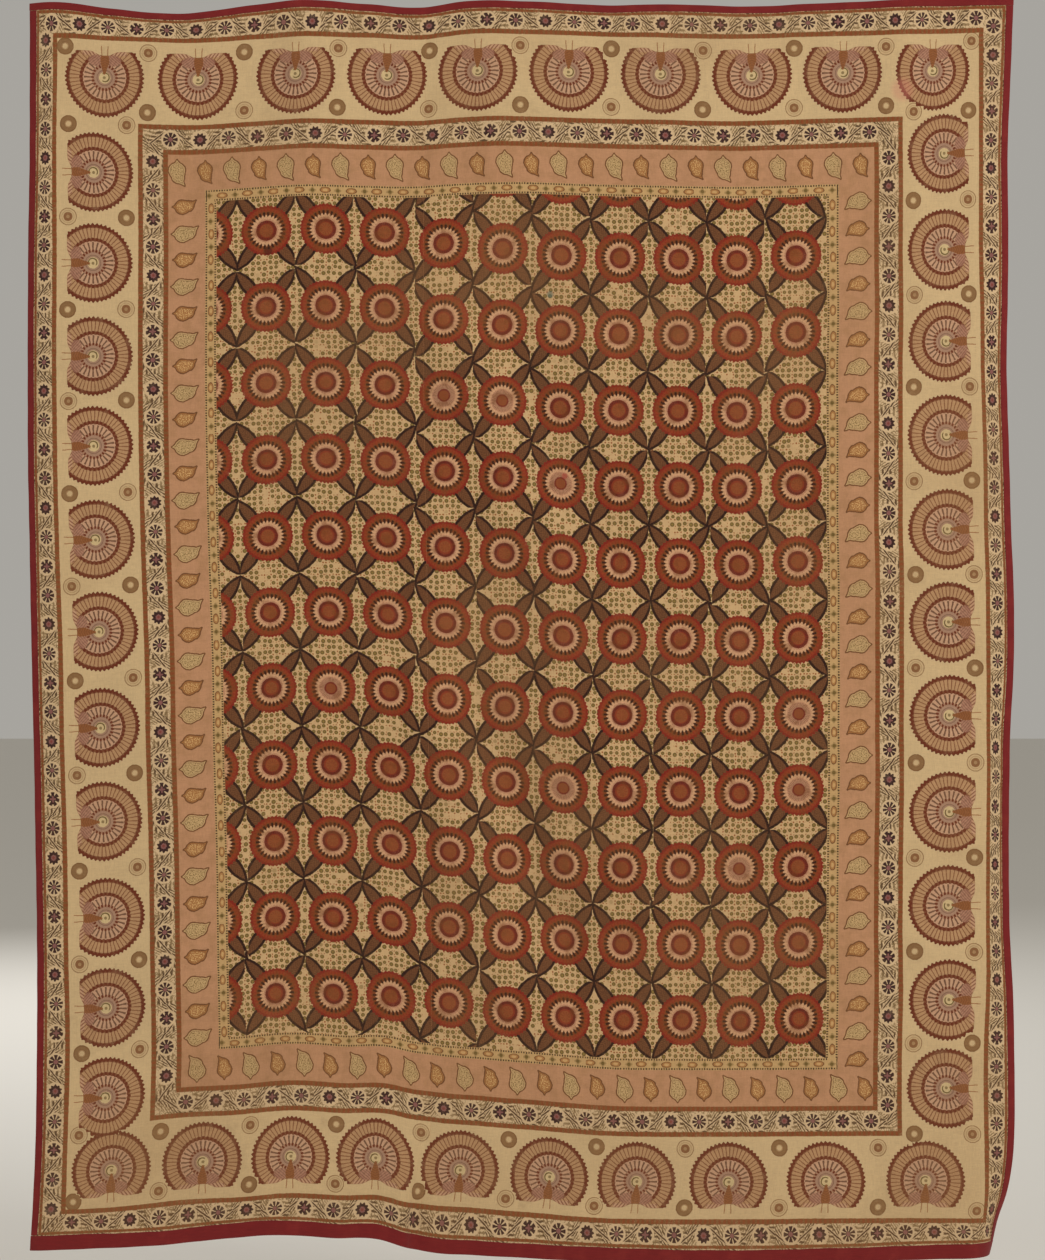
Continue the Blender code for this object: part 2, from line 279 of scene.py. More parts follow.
# Where the printed lines run. A place in the photograph is its column and row in pixels.
PIXEL = 0.001951
MIDDLE_COLUMN = 523.0
TOP_ROW = 1.5
CAMERA_DISTANCE = 6.828
CAMERA_HEIGHT = -1.2262
CAMERA_ASIDE = -0.001
LENS = 100.0
PLACING_ROUNDS = 6

SideLine = namedtuple("SideLine", "row left right right_inner")
EndLine = namedtuple("EndLine", "column top foot")
SIDE_LINES = (
    SideLine(10, 55.0, 981.0, 876.5), SideLine(60, 54.9, 981.0, 876.5),
    SideLine(150, 54.0, 981.0, 876.5), SideLine(250, 54.4, 981.0, 876.5),
    SideLine(350, 54.0, 982.7, 876.5), SideLine(450, 54.8, 985.4, 876.5),
    SideLine(550, 57.0, 987.0, 877.0), SideLine(650, 60.4, 988.5, 877.5),
    SideLine(750, 62.0, 989.0, 877.5), SideLine(850, 64.8, 988.5, 876.7),
    SideLine(950, 66.0, 988.5, 876.3), SideLine(1050, 67.6, 986.0, 875.6),
    SideLine(1150, 65.0, 987.0, 876.0), SideLine(1250, 62.0, 985.0, 876.0),
)
END_LINES = (
    EndLine(35, 38.0, 1212.0), EndLine(100, 38.0, 1210.4), EndLine(170, 40.4, 1203.4),
    EndLine(240, 38.0, 1199.5), EndLine(310, 33.8, 1195.8), EndLine(380, 35.8, 1197.8),
    EndLine(450, 33.8, 1208.7), EndLine(520, 31.7, 1214.0), EndLine(600, 34.2, 1220.3),
    EndLine(680, 35.8, 1221.7), EndLine(760, 36.2, 1221.5), EndLine(840, 33.8, 1220.8),
    EndLine(920, 31.7, 1220.5), EndLine(1010, 30.0, 1221.0),
)
# How many pixels the other lines lie inside the outermost one, side by side.
LEFT_INSETS = (0.0, 86.3, 111.6, 151.0, 162.2)
RIGHT_INNER_INSETS = (-24.0, 0.0, 37.8, 49.8)
TOP_INSETS = (0.0, 86.9, 111.9, 150.3, 161.8)
FOOT_INSETS = (0.0, 87.3, 112.7, 151.5, 163.0)

# The print's own plane, in metres, where every line is straight. Its zones follow each other inwards.
Zone = namedtuple("Zone", "name start steps")
ZONES = (
    Zone("outer_guard", 0.0, 6), Zone("peacock_border", 0.0465, 21), Zone("inner_guard", 0.216, 6),
    Zone("paisley_band", 0.265, 10), Zone("dotted_border", 0.340, 3), Zone("field", 0.3625, 0),
)
FIELD_START = ZONES[-1].start
FIELD_WIDTH = 1.189
FIELD_HEIGHT = 1.656
PRINT_WIDTH = FIELD_WIDTH + 2 * FIELD_START
PRINT_HEIGHT = FIELD_HEIGHT + 2 * FIELD_START
UNDER_STRIP_STEPS = 2
FIELD_STEPS_LEFT = 50
FIELD_STEPS_RIGHT = 97
FIELD_STEPS_DOWN = 207
CLOTH_INSET = 0.0024

PEACOCK_RADIUS = 0.0765
DISC_RADIUS = 0.0205
COLUMN_PITCH = 0.1151
ROW_PITCH = 0.148
FIRST_COLUMN = 0.458
ROW_COUNT = 11
# Each column's first and last medallion, down from the print's top, since the columns don't line up,
# and how far the column leans to the right on its way down.
FieldColumn = namedtuple("FieldColumn", "first last lean")
FIELD_COLUMNS = (
    FieldColumn(0.4279, 1.9403, -0.006), FieldColumn(0.4269, 1.9385, -0.006),
    FieldColumn(0.4308, 1.9412, -0.006), FieldColumn(0.4547, 1.9357, -0.006),
    FieldColumn(0.4679, 1.9435, -0.005), FieldColumn(0.4786, 1.9459, -0.003),
    FieldColumn(0.4814, 1.9455, 0.000), FieldColumn(0.4814, 1.9452, 0.001),
    FieldColumn(0.4834, 1.9466, 0.004), FieldColumn(0.4766, 1.9429, 0.006),
)
BLOCK_JITTER = 0.0009
BLOCK_TILT = 0.014

# Where the peacocks' fans lie along each side, in pixels, and which disc is the outer one in each gap
# between two fans: a solid or a pale one. A crowded gap holds the outer one alone. The discs lie beside
# the gap's middle, by a few pixels along the side.
PeacockSide = namedtuple("PeacockSide", "turn places outer_discs crowded_gap aside")
PEACOCK_SIDES = (
    PeacockSide(0, (105, 199, 296, 387, 478, 569, 661, 752, 843, 933), "pspspspsp", -1, -3.3),
    PeacockSide(180, (112, 203, 290, 375, 460, 550, 637, 728, 825, 925), "pspsppsps", -1, 3.0),
    PeacockSide(
        90, (172, 263, 356, 446, 540, 632, 728, 822, 918, 1008, 1098), "spspspspspsp", 11, 0.0
    ),
    PeacockSide(
        270, (154, 250, 342, 435, 530, 622, 716, 812, 905, 1000, 1088), "spspspspspsp", -1, -1.2
    ),
)
PEACOCK_INSET = 0.1235
DISC_INSETS = (0.0738, 0.1887)
CORNER_DISC_INSET = 0.0660
GUARD_PITCH = 0.0575
DOTTED_PITCH = 0.0253
DOTTED_LINE = 0.35125

# Rows of small motifs: how far inside the print's edge they lie, and the first and the last one's place
# along their side, in pixels.
OUTER_GUARD_MIDDLE = 0.0235
INNER_GUARD_MIDDLE = 0.2405
PrintRow = namedtuple("PrintRow", "zone turn inset first last steps phase")
PRINT_ROWS = (
    PrintRow("outer_guard", 0, OUTER_GUARD_MIDDLE, 50.0, 976.0, 32, 0),
    PrintRow("outer_guard", 180, OUTER_GUARD_MIDDLE, 73.9, 993.8, 32, 3),
    PrintRow("outer_guard", 90, OUTER_GUARD_MIDDLE, 42.0, 1207.4, 40, 1),
    PrintRow("outer_guard", 270, OUTER_GUARD_MIDDLE, 28.0, 1209.0, 41, 0),
    PrintRow("inner_guard", 0, INNER_GUARD_MIDDLE, 171.0, 869.5, 24, 0),
    PrintRow("inner_guard", 180, INNER_GUARD_MIDDLE, 184.3, 871.3, 24, 0),
    PrintRow("inner_guard", 90, INNER_GUARD_MIDDLE, 159.7, 1082.6, 32, 1),
    PrintRow("inner_guard", 270, INNER_GUARD_MIDDLE, 157.0, 1104.5, 32, 0),
    PrintRow("paisley_band", 0, 0.3050, 178.3, 860.5, 25, 0),
    PrintRow("paisley_band", 180, 0.3040, 194.0, 865.5, 25, 0),
    PrintRow("paisley_band", 90, 0.3015, 204.7, 1046.1, 31, 1),
    PrintRow("paisley_band", 270, 0.3030, 200.0, 1059.5, 31, 0),
    PrintRow("dotted_border", 0, DOTTED_LINE, 209.9, 832.0, 48, 0),
    PrintRow("dotted_border", 180, DOTTED_LINE, 219.3, 832.7, 48, 0),
    PrintRow("dotted_border", 90, DOTTED_LINE, 207.6, 1041.7, 64, 1),
    PrintRow("dotted_border", 270, DOTTED_LINE, 203.0, 1049.0, 64, 1),
)
MOTIF_ORDER = {
    "outer_guard": ("club_flower", "scalloped_flower", "ray_flower", "lobed_flower"),
    "inner_guard": ("club_flower", "scalloped_flower", "ray_flower", "lobed_flower"),
    "paisley_band": ("pale_paisley", "ochre_paisley"),
    "dotted_border": ("small_dot", "ochre_oval"),
}

Stamp = namedtuple("Stamp", "right down turn motif size")
SEED = 7
# A medallion that is named more often is printed more often.
MEDALLION_DRAW = ("smooth_medallion",) * 5 + ("rayed_medallion",) * 4 + ("sun_medallion",)

Lattice = namedtuple("Lattice", "across down right below")

SHARP_ANGLE = np.radians(60)
# Shares of the baked picture's width: the front is large, the reverse and the cut edge are narrow.
FRONT_ISLAND = 0.80
BACK_ISLAND = 0.16
BACK_ISLAND_START = 0.82
RIM_ISLAND = 0.006
RIM_ISLAND_START = 0.992

STRIP_GAP = 0.0004
STRIP_LEG_STEPS = 4
STRIP_TURN_STEPS = 7
HAND = (Wave(0.37, 1.0, 0.5, 0.020), Wave(0.113, 1.0, 2.0, 0.014), Wave(0.041, 1.0, 4.0, 0.008))
HAND_SHARE = 0.045
LEAF_ACROSS = 0.6137
LEAF_DOWN = 0.7896
LEAF_LENGTH = 0.042
LEAF_HALF_WIDTH = 0.0128
LEAF_OVERLAP = 0.0030
LEAF_TIP = 0.0012
MEDALLION_RADIUS = 0.0480
STITCH_MARGIN = 0.006
NORMAL_STEP = 0.0005
SEAM_SLANT = 0.35

DASH_PITCH = 0.0094
VINE_SWING = 0.0150
OUTERMOST_LINE = 0.0034

SENSOR_WIDTH = 36.0
KEY_PLACE = (6.0, -6.0, 2.4)
KEY_SIZE = 3.0
FILL_PLACE = (-6.0, -6.2, 1.6)
FILL_SIZE = 3.6
BACK_PLACE = (-2.5, 8.0, 2.4)
BACK_SIZE = 3.6
FLOOR_HALF = 40.0
FLOOR_ROUGHNESS = 0.9


def spread(keys, steps):
    """Stations between key lines, evenly shared in each stretch. The last axis holds the key lines."""
    keys = np.asarray(keys, float)
    parts = [keys[..., :1]]
    for index, count in enumerate(steps):
        start = keys[..., index : index + 1]
        end = keys[..., index + 1 : index + 2]
        parts.append(start + (end - start) * np.arange(1, count + 1) / count)
    return np.concatenate(parts, axis=-1)


def flat_place(columns, rows):
    """The flat places that the photograph shows at some columns and rows of pixels."""
    x = (np.asarray(columns, float) - MIDDLE_COLUMN) * PIXEL - CAMERA_ASIDE
    z = (TOP_ROW - np.asarray(rows, float)) * PIXEL - CAMERA_HEIGHT
    across, down = x + WIDTH / 2, -z - CAMERA_HEIGHT
    for _ in range(PLACING_ROUNDS):
        place = hung(across, down)
        farther = 1 + place[..., 1] / CAMERA_DISTANCE
        across = across + CAMERA_ASIDE + x * farther - place[..., 0]
        down = down - CAMERA_HEIGHT - z * farther + place[..., 2]
    return across, down


def side_keys(downs):
    """How far across the printed lines at the left and at the right run, at some places down."""
    rows = np.array([line.row for line in SIDE_LINES], float)
    outer = np.array([line.right for line in SIDE_LINES])[:, None]
    inner = np.array([line.right_inner for line in SIDE_LINES])[:, None]
    left = np.array([line.left for line in SIDE_LINES])[:, None] + LEFT_INSETS
    right = np.concatenate([outer, inner - RIGHT_INNER_INSETS], axis=1)
    keys = []
    for columns in (*left.T, *right.T):
        across, down = flat_place(columns, rows)
        keys.append(smooth_curve(down, across, downs))
    return np.stack(keys[:5], axis=-1), np.stack(keys[5:], axis=-1)


def end_keys(acrosses):
    """How far down the printed lines at the top and at the foot run, at some places across."""
    columns = np.array([line.column for line in END_LINES], float)
    top = np.array([line.top for line in END_LINES])[:, None] + TOP_INSETS
    foot = np.array([line.foot for line in END_LINES])[:, None] - FOOT_INSETS
    keys = []
    for rows in (*top.T, *foot.T):
        across, down = flat_place(columns, rows)
        keys.append(smooth_curve(across, down, acrosses))
    return np.stack(keys[:5], axis=-1), np.stack(keys[5:], axis=-1)


def cloth_lattice(is_left):
    """The flat places and the print's places of one loom width's mesh, with the top row first."""
    starts = np.array([zone.start for zone in ZONES])
    steps = [zone.steps for zone in ZONES[:-1]]
    row_keys = [CLOTH_INSET - TOP_STRIP, *starts, *(PRINT_HEIGHT - starts[::-1])]
    row_keys.append(PRINT_HEIGHT + FOOT_STRIP - CLOTH_INSET)
    row_steps = [UNDER_STRIP_STEPS, *steps, FIELD_STEPS_DOWN, *steps[::-1], 2 * UNDER_STRIP_STEPS]
    below = spread(row_keys, row_steps)
    stretch = (HEIGHT - TOP_STRIP - FOOT_STRIP) / PRINT_HEIGHT
    left, right = side_keys(TOP_STRIP + below * stretch)

    def edge(value):
        return np.full((len(below), 1), value)

    seam_share = (SEAM_ACROSS - left[:, -1:]) / (right[:, -1:] - left[:, -1:])
    seam_right = FIELD_START + FIELD_WIDTH * seam_share
    if is_left:
        keys = [edge(CLOTH_INSET), edge(SIDE_STRIP), left, edge(SEAM_ACROSS - SEAM_GAP / 2)]
        marks = [edge(CLOTH_INSET - SIDE_STRIP), np.tile(starts, (len(below), 1)), seam_right]
        column_steps = [UNDER_STRIP_STEPS, *steps, FIELD_STEPS_LEFT]
    else:
        seam = edge(SEAM_ACROSS + SEAM_GAP / 2)
        keys = [seam, right[:, ::-1], edge(WIDTH - SIDE_STRIP), edge(WIDTH - CLOTH_INSET)]
        marks = [seam_right, np.tile(PRINT_WIDTH - starts[::-1], (len(below), 1))]
        marks.append(edge(PRINT_WIDTH + SIDE_STRIP - CLOTH_INSET))
        column_steps = [FIELD_STEPS_RIGHT, *steps[::-1], UNDER_STRIP_STEPS]
    across = spread(np.concatenate(keys, axis=1), column_steps)
    top, foot = end_keys(across.mean(axis=0))
    ends = np.ones((len(top), 1))
    down_keys = [ends * CLOTH_INSET, ends * TOP_STRIP, top, foot[:, ::-1]]
    down_keys += [ends * (HEIGHT - FOOT_STRIP), ends * (HEIGHT - CLOTH_INSET)]
    down = spread(np.concatenate(down_keys, axis=1), row_steps).T
    print_right = spread(np.concatenate(marks, axis=1), column_steps)
    return Lattice(across, down, print_right, np.broadcast_to(below[:, None], across.shape))


# Where each printed block's motif lands. A stamp's turn points its own top outwards.
def side_place(turn, along, inset):
    """The print's place that lies some way along a side, and some way inside it."""
    if turn in (0, 180):
        return along, inset if turn == 0 else PRINT_HEIGHT - inset
    return (inset if turn == 90 else PRINT_WIDTH - inset), along


def along_side(turn, pixels):
    """How far along a side of the print some pixels of the photograph lie, as its lines run there."""
    starts = np.array([zone.start for zone in ZONES[1:]])
    if turn in (0, 180):
        line = SIDE_LINES[1] if turn == 0 else SIDE_LINES[-2]
        near = line.left + np.array(LEFT_INSETS)
        far = np.array([line.right, *(line.right_inner - np.array(RIGHT_INNER_INSETS))])
        length = PRINT_WIDTH

        def flat(places):
            return flat_place(places, np.full(len(places), line.row))[0]

    else:
        line = END_LINES[1] if turn == 90 else END_LINES[-2]
        near = line.top + np.array(TOP_INSETS)
        far = line.foot - np.array(FOOT_INSETS)
        length = PRINT_HEIGHT

        def flat(places):
            return flat_place(np.full(len(places), line.column), places)[1]

    beyond = starts[0] / PIXEL
    lines = np.array([near[0] - beyond, *near, *far[::-1], far[0] + beyond])
    places = np.array([0.0, *starts, *(length - starts[::-1]), length])
    return np.interp(flat(np.asarray(pixels, float)), flat(lines), places)


def row_stamps(zone):
    """The stamps of a zone whose motifs follow each other in rows, one row to each side."""
    motifs = MOTIF_ORDER[zone]
    stamps = []
    for row in PRINT_ROWS:
        if row.zone == zone:
            first, last = along_side(row.turn, (row.first, row.last))
            for index, along in enumerate(np.linspace(first, last, row.steps + 1)):
                place = side_place(row.turn, along, row.inset)
                motif = motifs[(index + row.phase) % len(motifs)]
                stamps.append(Stamp(*place, row.turn, motif, 0.0))
    return stamps


def peacock_stamps():
    stamps = []
    for side in PEACOCK_SIDES:
        alongs = along_side(side.turn, side.places)
        for along in alongs:
            place = side_place(side.turn, along, PEACOCK_INSET)
            stamps.append(Stamp(*place, side.turn, "peacock", PEACOCK_RADIUS))
        if side.turn in (90, 270):
            alongs = [PEACOCK_INSET, *alongs, PRINT_HEIGHT - PEACOCK_INSET]
        for index, outer in enumerate(side.outer_discs):
            along = (alongs[index] + alongs[index + 1]) / 2 + side.aside * PIXEL
            discs = ("solid_disc", "pale_disc") if outer == "s" else ("pale_disc", "solid_disc")
            for inset, motif in zip(DISC_INSETS[: 1 if index == side.crowded_gap else 2], discs):
                place = side_place(side.turn, along, inset)
                stamps.append(Stamp(*place, side.turn, motif, DISC_RADIUS))
    far_right = PRINT_WIDTH - CORNER_DISC_INSET
    for right, motif in ((CORNER_DISC_INSET, "solid_disc"), (far_right, "pale_disc")):
        for down in (CORNER_DISC_INSET, PRINT_HEIGHT - CORNER_DISC_INSET):
            stamps.append(Stamp(right, down, 0, motif, DISC_RADIUS))
    return stamps


def medallion_stamps(rng):
    stamps = []
    for index, column in enumerate((FIELD_COLUMNS[0], *FIELD_COLUMNS)):
        pitch = (column.last - column.first) / (ROW_COUNT - 1)
        for row in range(-1, ROW_COUNT + 1):
            lean = column.lean * (row / (ROW_COUNT - 1) - 0.5)
            right = FIRST_COLUMN + COLUMN_PITCH * (index - 1) + lean
            motif = MEDALLION_DRAW[rng.integers(len(MEDALLION_DRAW))]
            stamps.append(Stamp(right, column.first + pitch * row, 0, motif, 0.0))
    return stamps


def zone_stamps():
    """The stamps of each zone, by the zone's name."""
    return {
        **{zone: row_stamps(zone) for zone in MOTIF_ORDER},
        "peacock_border": peacock_stamps(),
        "field": medallion_stamps(np.random.default_rng(SEED)),
    }


def stamped(lattice_right, lattice_below, motif_index):
    """Each face's motif number, and its corners' places on that motif and that stamp's two tones.

    Both arguments hold a row of four corners for each face.
    """
    right = lattice_right.mean(axis=1)
    below = lattice_below.mean(axis=1)
    inset = np.minimum(
        np.minimum(right, PRINT_WIDTH - right), np.minimum(below, PRINT_HEIGHT - below)
    )
    starts = [zone.start for zone in ZONES[1:]]
    zone_number = np.searchsorted(starts, inset, side="right")
    numbers = np.zeros(len(right), int)
    places = np.zeros((*lattice_right.shape, 2))
    tones = np.zeros((*lattice_right.shape, 2))
    rng = np.random.default_rng(SEED)
    for number, zone in enumerate(ZONES):
        stamps = ZONE_STAMPS[zone.name]
        shifts = rng.uniform(-BLOCK_JITTER, BLOCK_JITTER, (len(stamps), 2))
        tilts = rng.uniform(-BLOCK_TILT, BLOCK_TILT, len(stamps))
        stamp_tones = rng.random((len(stamps), 2))
        faces = np.flatnonzero(zone_number == number)
        centres = np.array([(stamp.right, stamp.down) for stamp in stamps]) + shifts
        away = np.abs(right[faces, None] - centres[:, 0]), np.abs(below[faces, None] - centres[:, 1])
        if zone.name == "field":
            distance = np.maximum(away[0] / COLUMN_PITCH, away[1] / ROW_PITCH)
        else:
            distance = np.hypot(*away) - np.array([stamp.size for stamp in stamps])
        nearest = distance.argmin(axis=1)
        turns = np.radians([stamp.turn for stamp in stamps]) + tilts
        cosine = np.cos(turns[nearest])[:, None]
        sine = np.sin(turns[nearest])[:, None]
        x = lattice_right[faces] - centres[nearest, 0][:, None]
        z = centres[nearest, 1][:, None] - lattice_below[faces]
        places[faces, :, 0] = x * cosine + z * sine
        places[faces, :, 1] = z * cosine - x * sine
        tones[faces] = stamp_tones[nearest][:, None, :]
        numbers[faces] = np.array([motif_index[stamp.motif] for stamp in stamps])[nearest]
    return numbers, places, tones


ZONE_STAMPS = zone_stamps()
MOTIFS = tuple(sorted({stamp.motif for stamps in ZONE_STAMPS.values() for stamp in stamps}))


def grid_mesh(name, points):
    """A mesh of four-sided faces through a grid of points, with each vertex's place in that grid."""
    rows, columns = points.shape[:2]
    sheet = bmesh.new()
    bmesh.ops.create_grid(sheet, x_segments=columns - 1, y_segments=rows - 1, size=0.5)
    mesh = bpy.data.meshes.new(name)
    sheet.to_mesh(mesh)
    sheet.free()
    places = np.empty(len(mesh.vertices) * 3)
    mesh.vertices.foreach_get("co", places)
    shares = places.reshape(-1, 3)
    column = np.rint((0.5 + shares[:, 0]) * (columns - 1)).astype(int)
    row = np.rint((0.5 - shares[:, 1]) * (rows - 1)).astype(int)
    mesh.vertices.foreach_set("co", points[row, column].ravel())
    mesh.shade_smooth()
    return mesh, row, column


def corner_vertices(mesh):
    corners = np.empty(len(mesh.loops), int)
    mesh.loops.foreach_get("vertex_index", corners)
    return corners


def add_uv_map(mesh, name, places):
    mesh.uv_layers.new(name=name).data.foreach_set("uv", np.ascontiguousarray(places).ravel())


def thickened(name, mesh, thickness):
    """The piece that the open sheet becomes when it is thickened to both sides."""
    piece = bpy.data.objects.new(name, mesh)
    bpy.context.scene.collection.objects.link(piece)
    solidify = piece.modifiers.new("Thickness", "SOLIDIFY")
    solidify.thickness = thickness
    solidify.offset = 0
    solidify.use_even_offset = True
    solid = bpy.data.meshes.new_from_object(piece.evaluated_get(bpy.context.evaluated_depsgraph_get()))
    piece.modifiers.clear()
    piece.data = solid
    bpy.data.meshes.remove(mesh)
    solid.name = name
    solid.set_sharp_from_angle(angle=SHARP_ANGLE)
    return piece


def add_bake_map(piece, face_count, vertex_count, shares):
    """Lays the front out large, the reverse small beside it, and the cut edge as a thin strip."""
    mesh = piece.data
    corners = corner_vertices(mesh)
    flat = shares[corners % vertex_count]
    is_back = corners >= vertex_count
    places = flat * (FRONT_ISLAND, 1.0)
    loops = np.arange(len(corners))
    reverse = (loops >= face_count * 4) & (loops < face_count * 8)
    places[reverse] = flat[reverse] * (BACK_ISLAND, 1.0) + (BACK_ISLAND_START, 0.0)
    rim = loops >= face_count * 8
    around = np.arctan2(flat[:, 1] - 0.5, flat[:, 0] - 0.5) / (2 * np.pi) + 0.5
    around = around[rim].reshape(-1, 4)
    across_start = around.max(axis=1) - around.min(axis=1) > 0.5
    around[across_start] = 1.0
    places[rim, 0] = RIM_ISLAND_START + RIM_ISLAND * is_back[rim]
    places[rim, 1] = around.ravel()
    add_uv_map(mesh, "OFBake", places)


def build_cloth(name, is_left, settings):
    lattice = cloth_lattice(is_left)
    mesh, row, column = grid_mesh(name, hung(lattice.across, lattice.down))
    corners = corner_vertices(mesh)
    right = lattice.right[row, column][corners]
    below = lattice.below[row, column][corners]
    motif_index = {motif: index for index, motif in enumerate(MOTIFS)}
    faces = right.reshape(-1, 4), below.reshape(-1, 4)
    numbers, places, tones = stamped(*faces, motif_index)
    add_uv_map(mesh, "Print", np.stack([right, below], axis=-1))
    add_uv_map(mesh, "Motif", places)
    add_uv_map(mesh, "Tone", tones)
    mesh.polygons.foreach_set("material_index", numbers)
    shares = np.stack([lattice.across / WIDTH, 1 - lattice.down / HEIGHT], axis=-1)
    lowest, highest = shares.min(axis=(0, 1)), shares.max(axis=(0, 1))
    shares = ((shares - lowest) / (highest - lowest))[row, column]
    face_count = len(mesh.polygons)
    piece = thickened(name + "_cotton", mesh, settings.cotton_thickness)
    polygons = piece.data.polygons
    numbers = np.zeros(len(polygons), int)
    polygons.foreach_get("material_index", numbers)
    numbers[face_count : 2 * face_count] += len(MOTIFS)
    polygons.foreach_set("material_index", numbers)
    add_bake_map(piece, face_count, len(shares), shares)
    for side in ("front", "reverse"):
        for motif in MOTIFS:
            piece.data.materials.append(cotton_material(motif, side == "reverse", settings))
    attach(piece, BODY)
    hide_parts(name)
    return piece


# The printed cotton's material. Its colour is a chain, from the ground up to the last stain.
Noise = namedtuple("Noise", "scale detail roughness")
SPECKLE = Noise(430.0, 3.0, 0.7)
PATCHES = Noise(38.0, 3.0, 0.6)
BROAD_SOIL = Noise(2.6, 4.0, 0.6)
BLOTS = Noise(17.0, 4.0, 0.65)
WORN_PATCHES = Noise(24.0, 4.0, 0.6)
THREAD = Noise(1.0, 2.0, 0.5)
WINDING = Noise(120.0, 1.5, 0.5)
LINE_SHAKE = Noise(130.0, 2.0, 0.6)
MOTIF_SHAKE = Noise(210.0, 2.0, 0.6)
LINE_SHAKE_REACH = 0.0016
MOTIF_SHAKE_REACH = 0.0018

# How much finer a thread's noise is across the thread and along it.
FINE_THREAD = (1100.0, 90.0)
THICK_THREAD = (300.0, 34.0)
STRIP_THREAD = (900.0, 40.0)

# How softly a printed edge ends, in metres.
CRISP_EDGE = 0.0004
SOFT_EDGE = 0.0007
FEATHER_EDGE = 0.0008
WIDE_EDGE = 0.0010
VINE_EDGE = 0.0020

INK_FROM_PATCHES = 0.9
INK_FROM_TONE = 0.12
INK_RISE = (0.50, 0.98)
INK_SPREAD = 0.34
RAY_SOFTNESS = 0.3


class Mark:
    """A value in a node tree. The signs of arithmetic add Math nodes to that tree."""

    def __init__(self, tree, socket):
        self.tree = tree
        self.socket = socket

    def __add__(self, other):
        return reckon("ADD", self, other)

    def __sub__(self, other):
        return reckon("SUBTRACT", self, other)

    def __rsub__(self, other):
        return reckon("SUBTRACT", other, self)

    def __mul__(self, other):
        return reckon("MULTIPLY", self, other)


def feed(socket, value):
    """Sets a socket to a number or a colour, or links it to a mark."""
    if isinstance(value, Mark):
        value.tree.links.new(value.socket, socket)
    else:
        socket.default_value = value


def reckon(operation, *values):
    tree = next(value.tree for value in values if isinstance(value, Mark))
    node = tree.nodes.new("ShaderNodeMath")
    node.operation = operation
    for socket, value in zip(node.inputs, values):
        feed(socket, value)
    return Mark(tree, node.outputs[0])


def rise(value, start, end):
    """0 at the start and 1 at the end, and smooth between them. The end may be the lower one."""
    node = value.tree.nodes.new("ShaderNodeMapRange")
    node.interpolation_type = "SMOOTHSTEP"
    feed(node.inputs["Value"], value)
    feed(node.inputs["From Min"], start)
    feed(node.inputs["From Max"], end)
    return Mark(value.tree, node.outputs["Result"])


def inside(distance, edge=CRISP_EDGE):
    """1 where a distance in metres is above zero, with a soft edge."""
    return rise(distance, -edge, edge)


def length(across, up):
    node = across.tree.nodes.new("ShaderNodeCombineXYZ")
    feed(node.inputs["X"], across)
    feed(node.inputs["Y"], up)
    measure = across.tree.nodes.new("ShaderNodeVectorMath")
    measure.operation = "LENGTH"
    across.tree.links.new(node.outputs[0], measure.inputs[0])
    return Mark(across.tree, measure.outputs["Value"])


def cosine(value):
    return reckon("COSINE", value)


def sine(value):
    return reckon("SINE", value)


def magnitude(value):
    return reckon("ABSOLUTE", value)


def parts(tree, socket):
    """The three numbers of a vector or a colour."""
    node = tree.nodes.new("ShaderNodeSeparateXYZ")
    tree.links.new(socket, node.inputs[0])
    return tuple(Mark(tree, output) for output in node.outputs)


def uv_place(tree, name):
    node = tree.nodes.new("ShaderNodeUVMap")
    node.uv_map = name
    return node.outputs[0]


def noise(tree, place, kind):
    node = tree.nodes.new("ShaderNodeTexNoise")
    node.noise_dimensions = "2D"
    tree.links.new(place, node.inputs["Vector"])
    node.inputs["Scale"].default_value = kind.scale
    node.inputs["Detail"].default_value = kind.detail
    node.inputs["Roughness"].default_value = kind.roughness
    return node


def stretched(tree, place, across, down):
    node = tree.nodes.new("ShaderNodeVectorMath")
    node.operation = "MULTIPLY"
    tree.links.new(place, node.inputs[0])
    node.inputs[1].default_value = (across, down, 1.0)
    return node.outputs[0]


def shaken(tree, place, kind, reach):
    """A place moved about by a noise, as much as a hand-cut block's lines are off."""
    source = noise(tree, place, kind)
    centred = tree.nodes.new("ShaderNodeVectorMath")
    centred.operation = "SUBTRACT"
    tree.links.new(source.outputs["Color"], centred.inputs[0])
    centred.inputs[1].default_value = (0.5, 0.5, 0.5)
    moved = tree.nodes.new("ShaderNodeVectorMath")
    moved.operation = "MULTIPLY_ADD"
    tree.links.new(centred.outputs[0], moved.inputs[0])
    moved.inputs[1].default_value = (reach, reach, 0.0)
    tree.links.new(place, moved.inputs[2])
    return moved.outputs[0]


Wear = namedtuple("Wear", "dye start end strength")


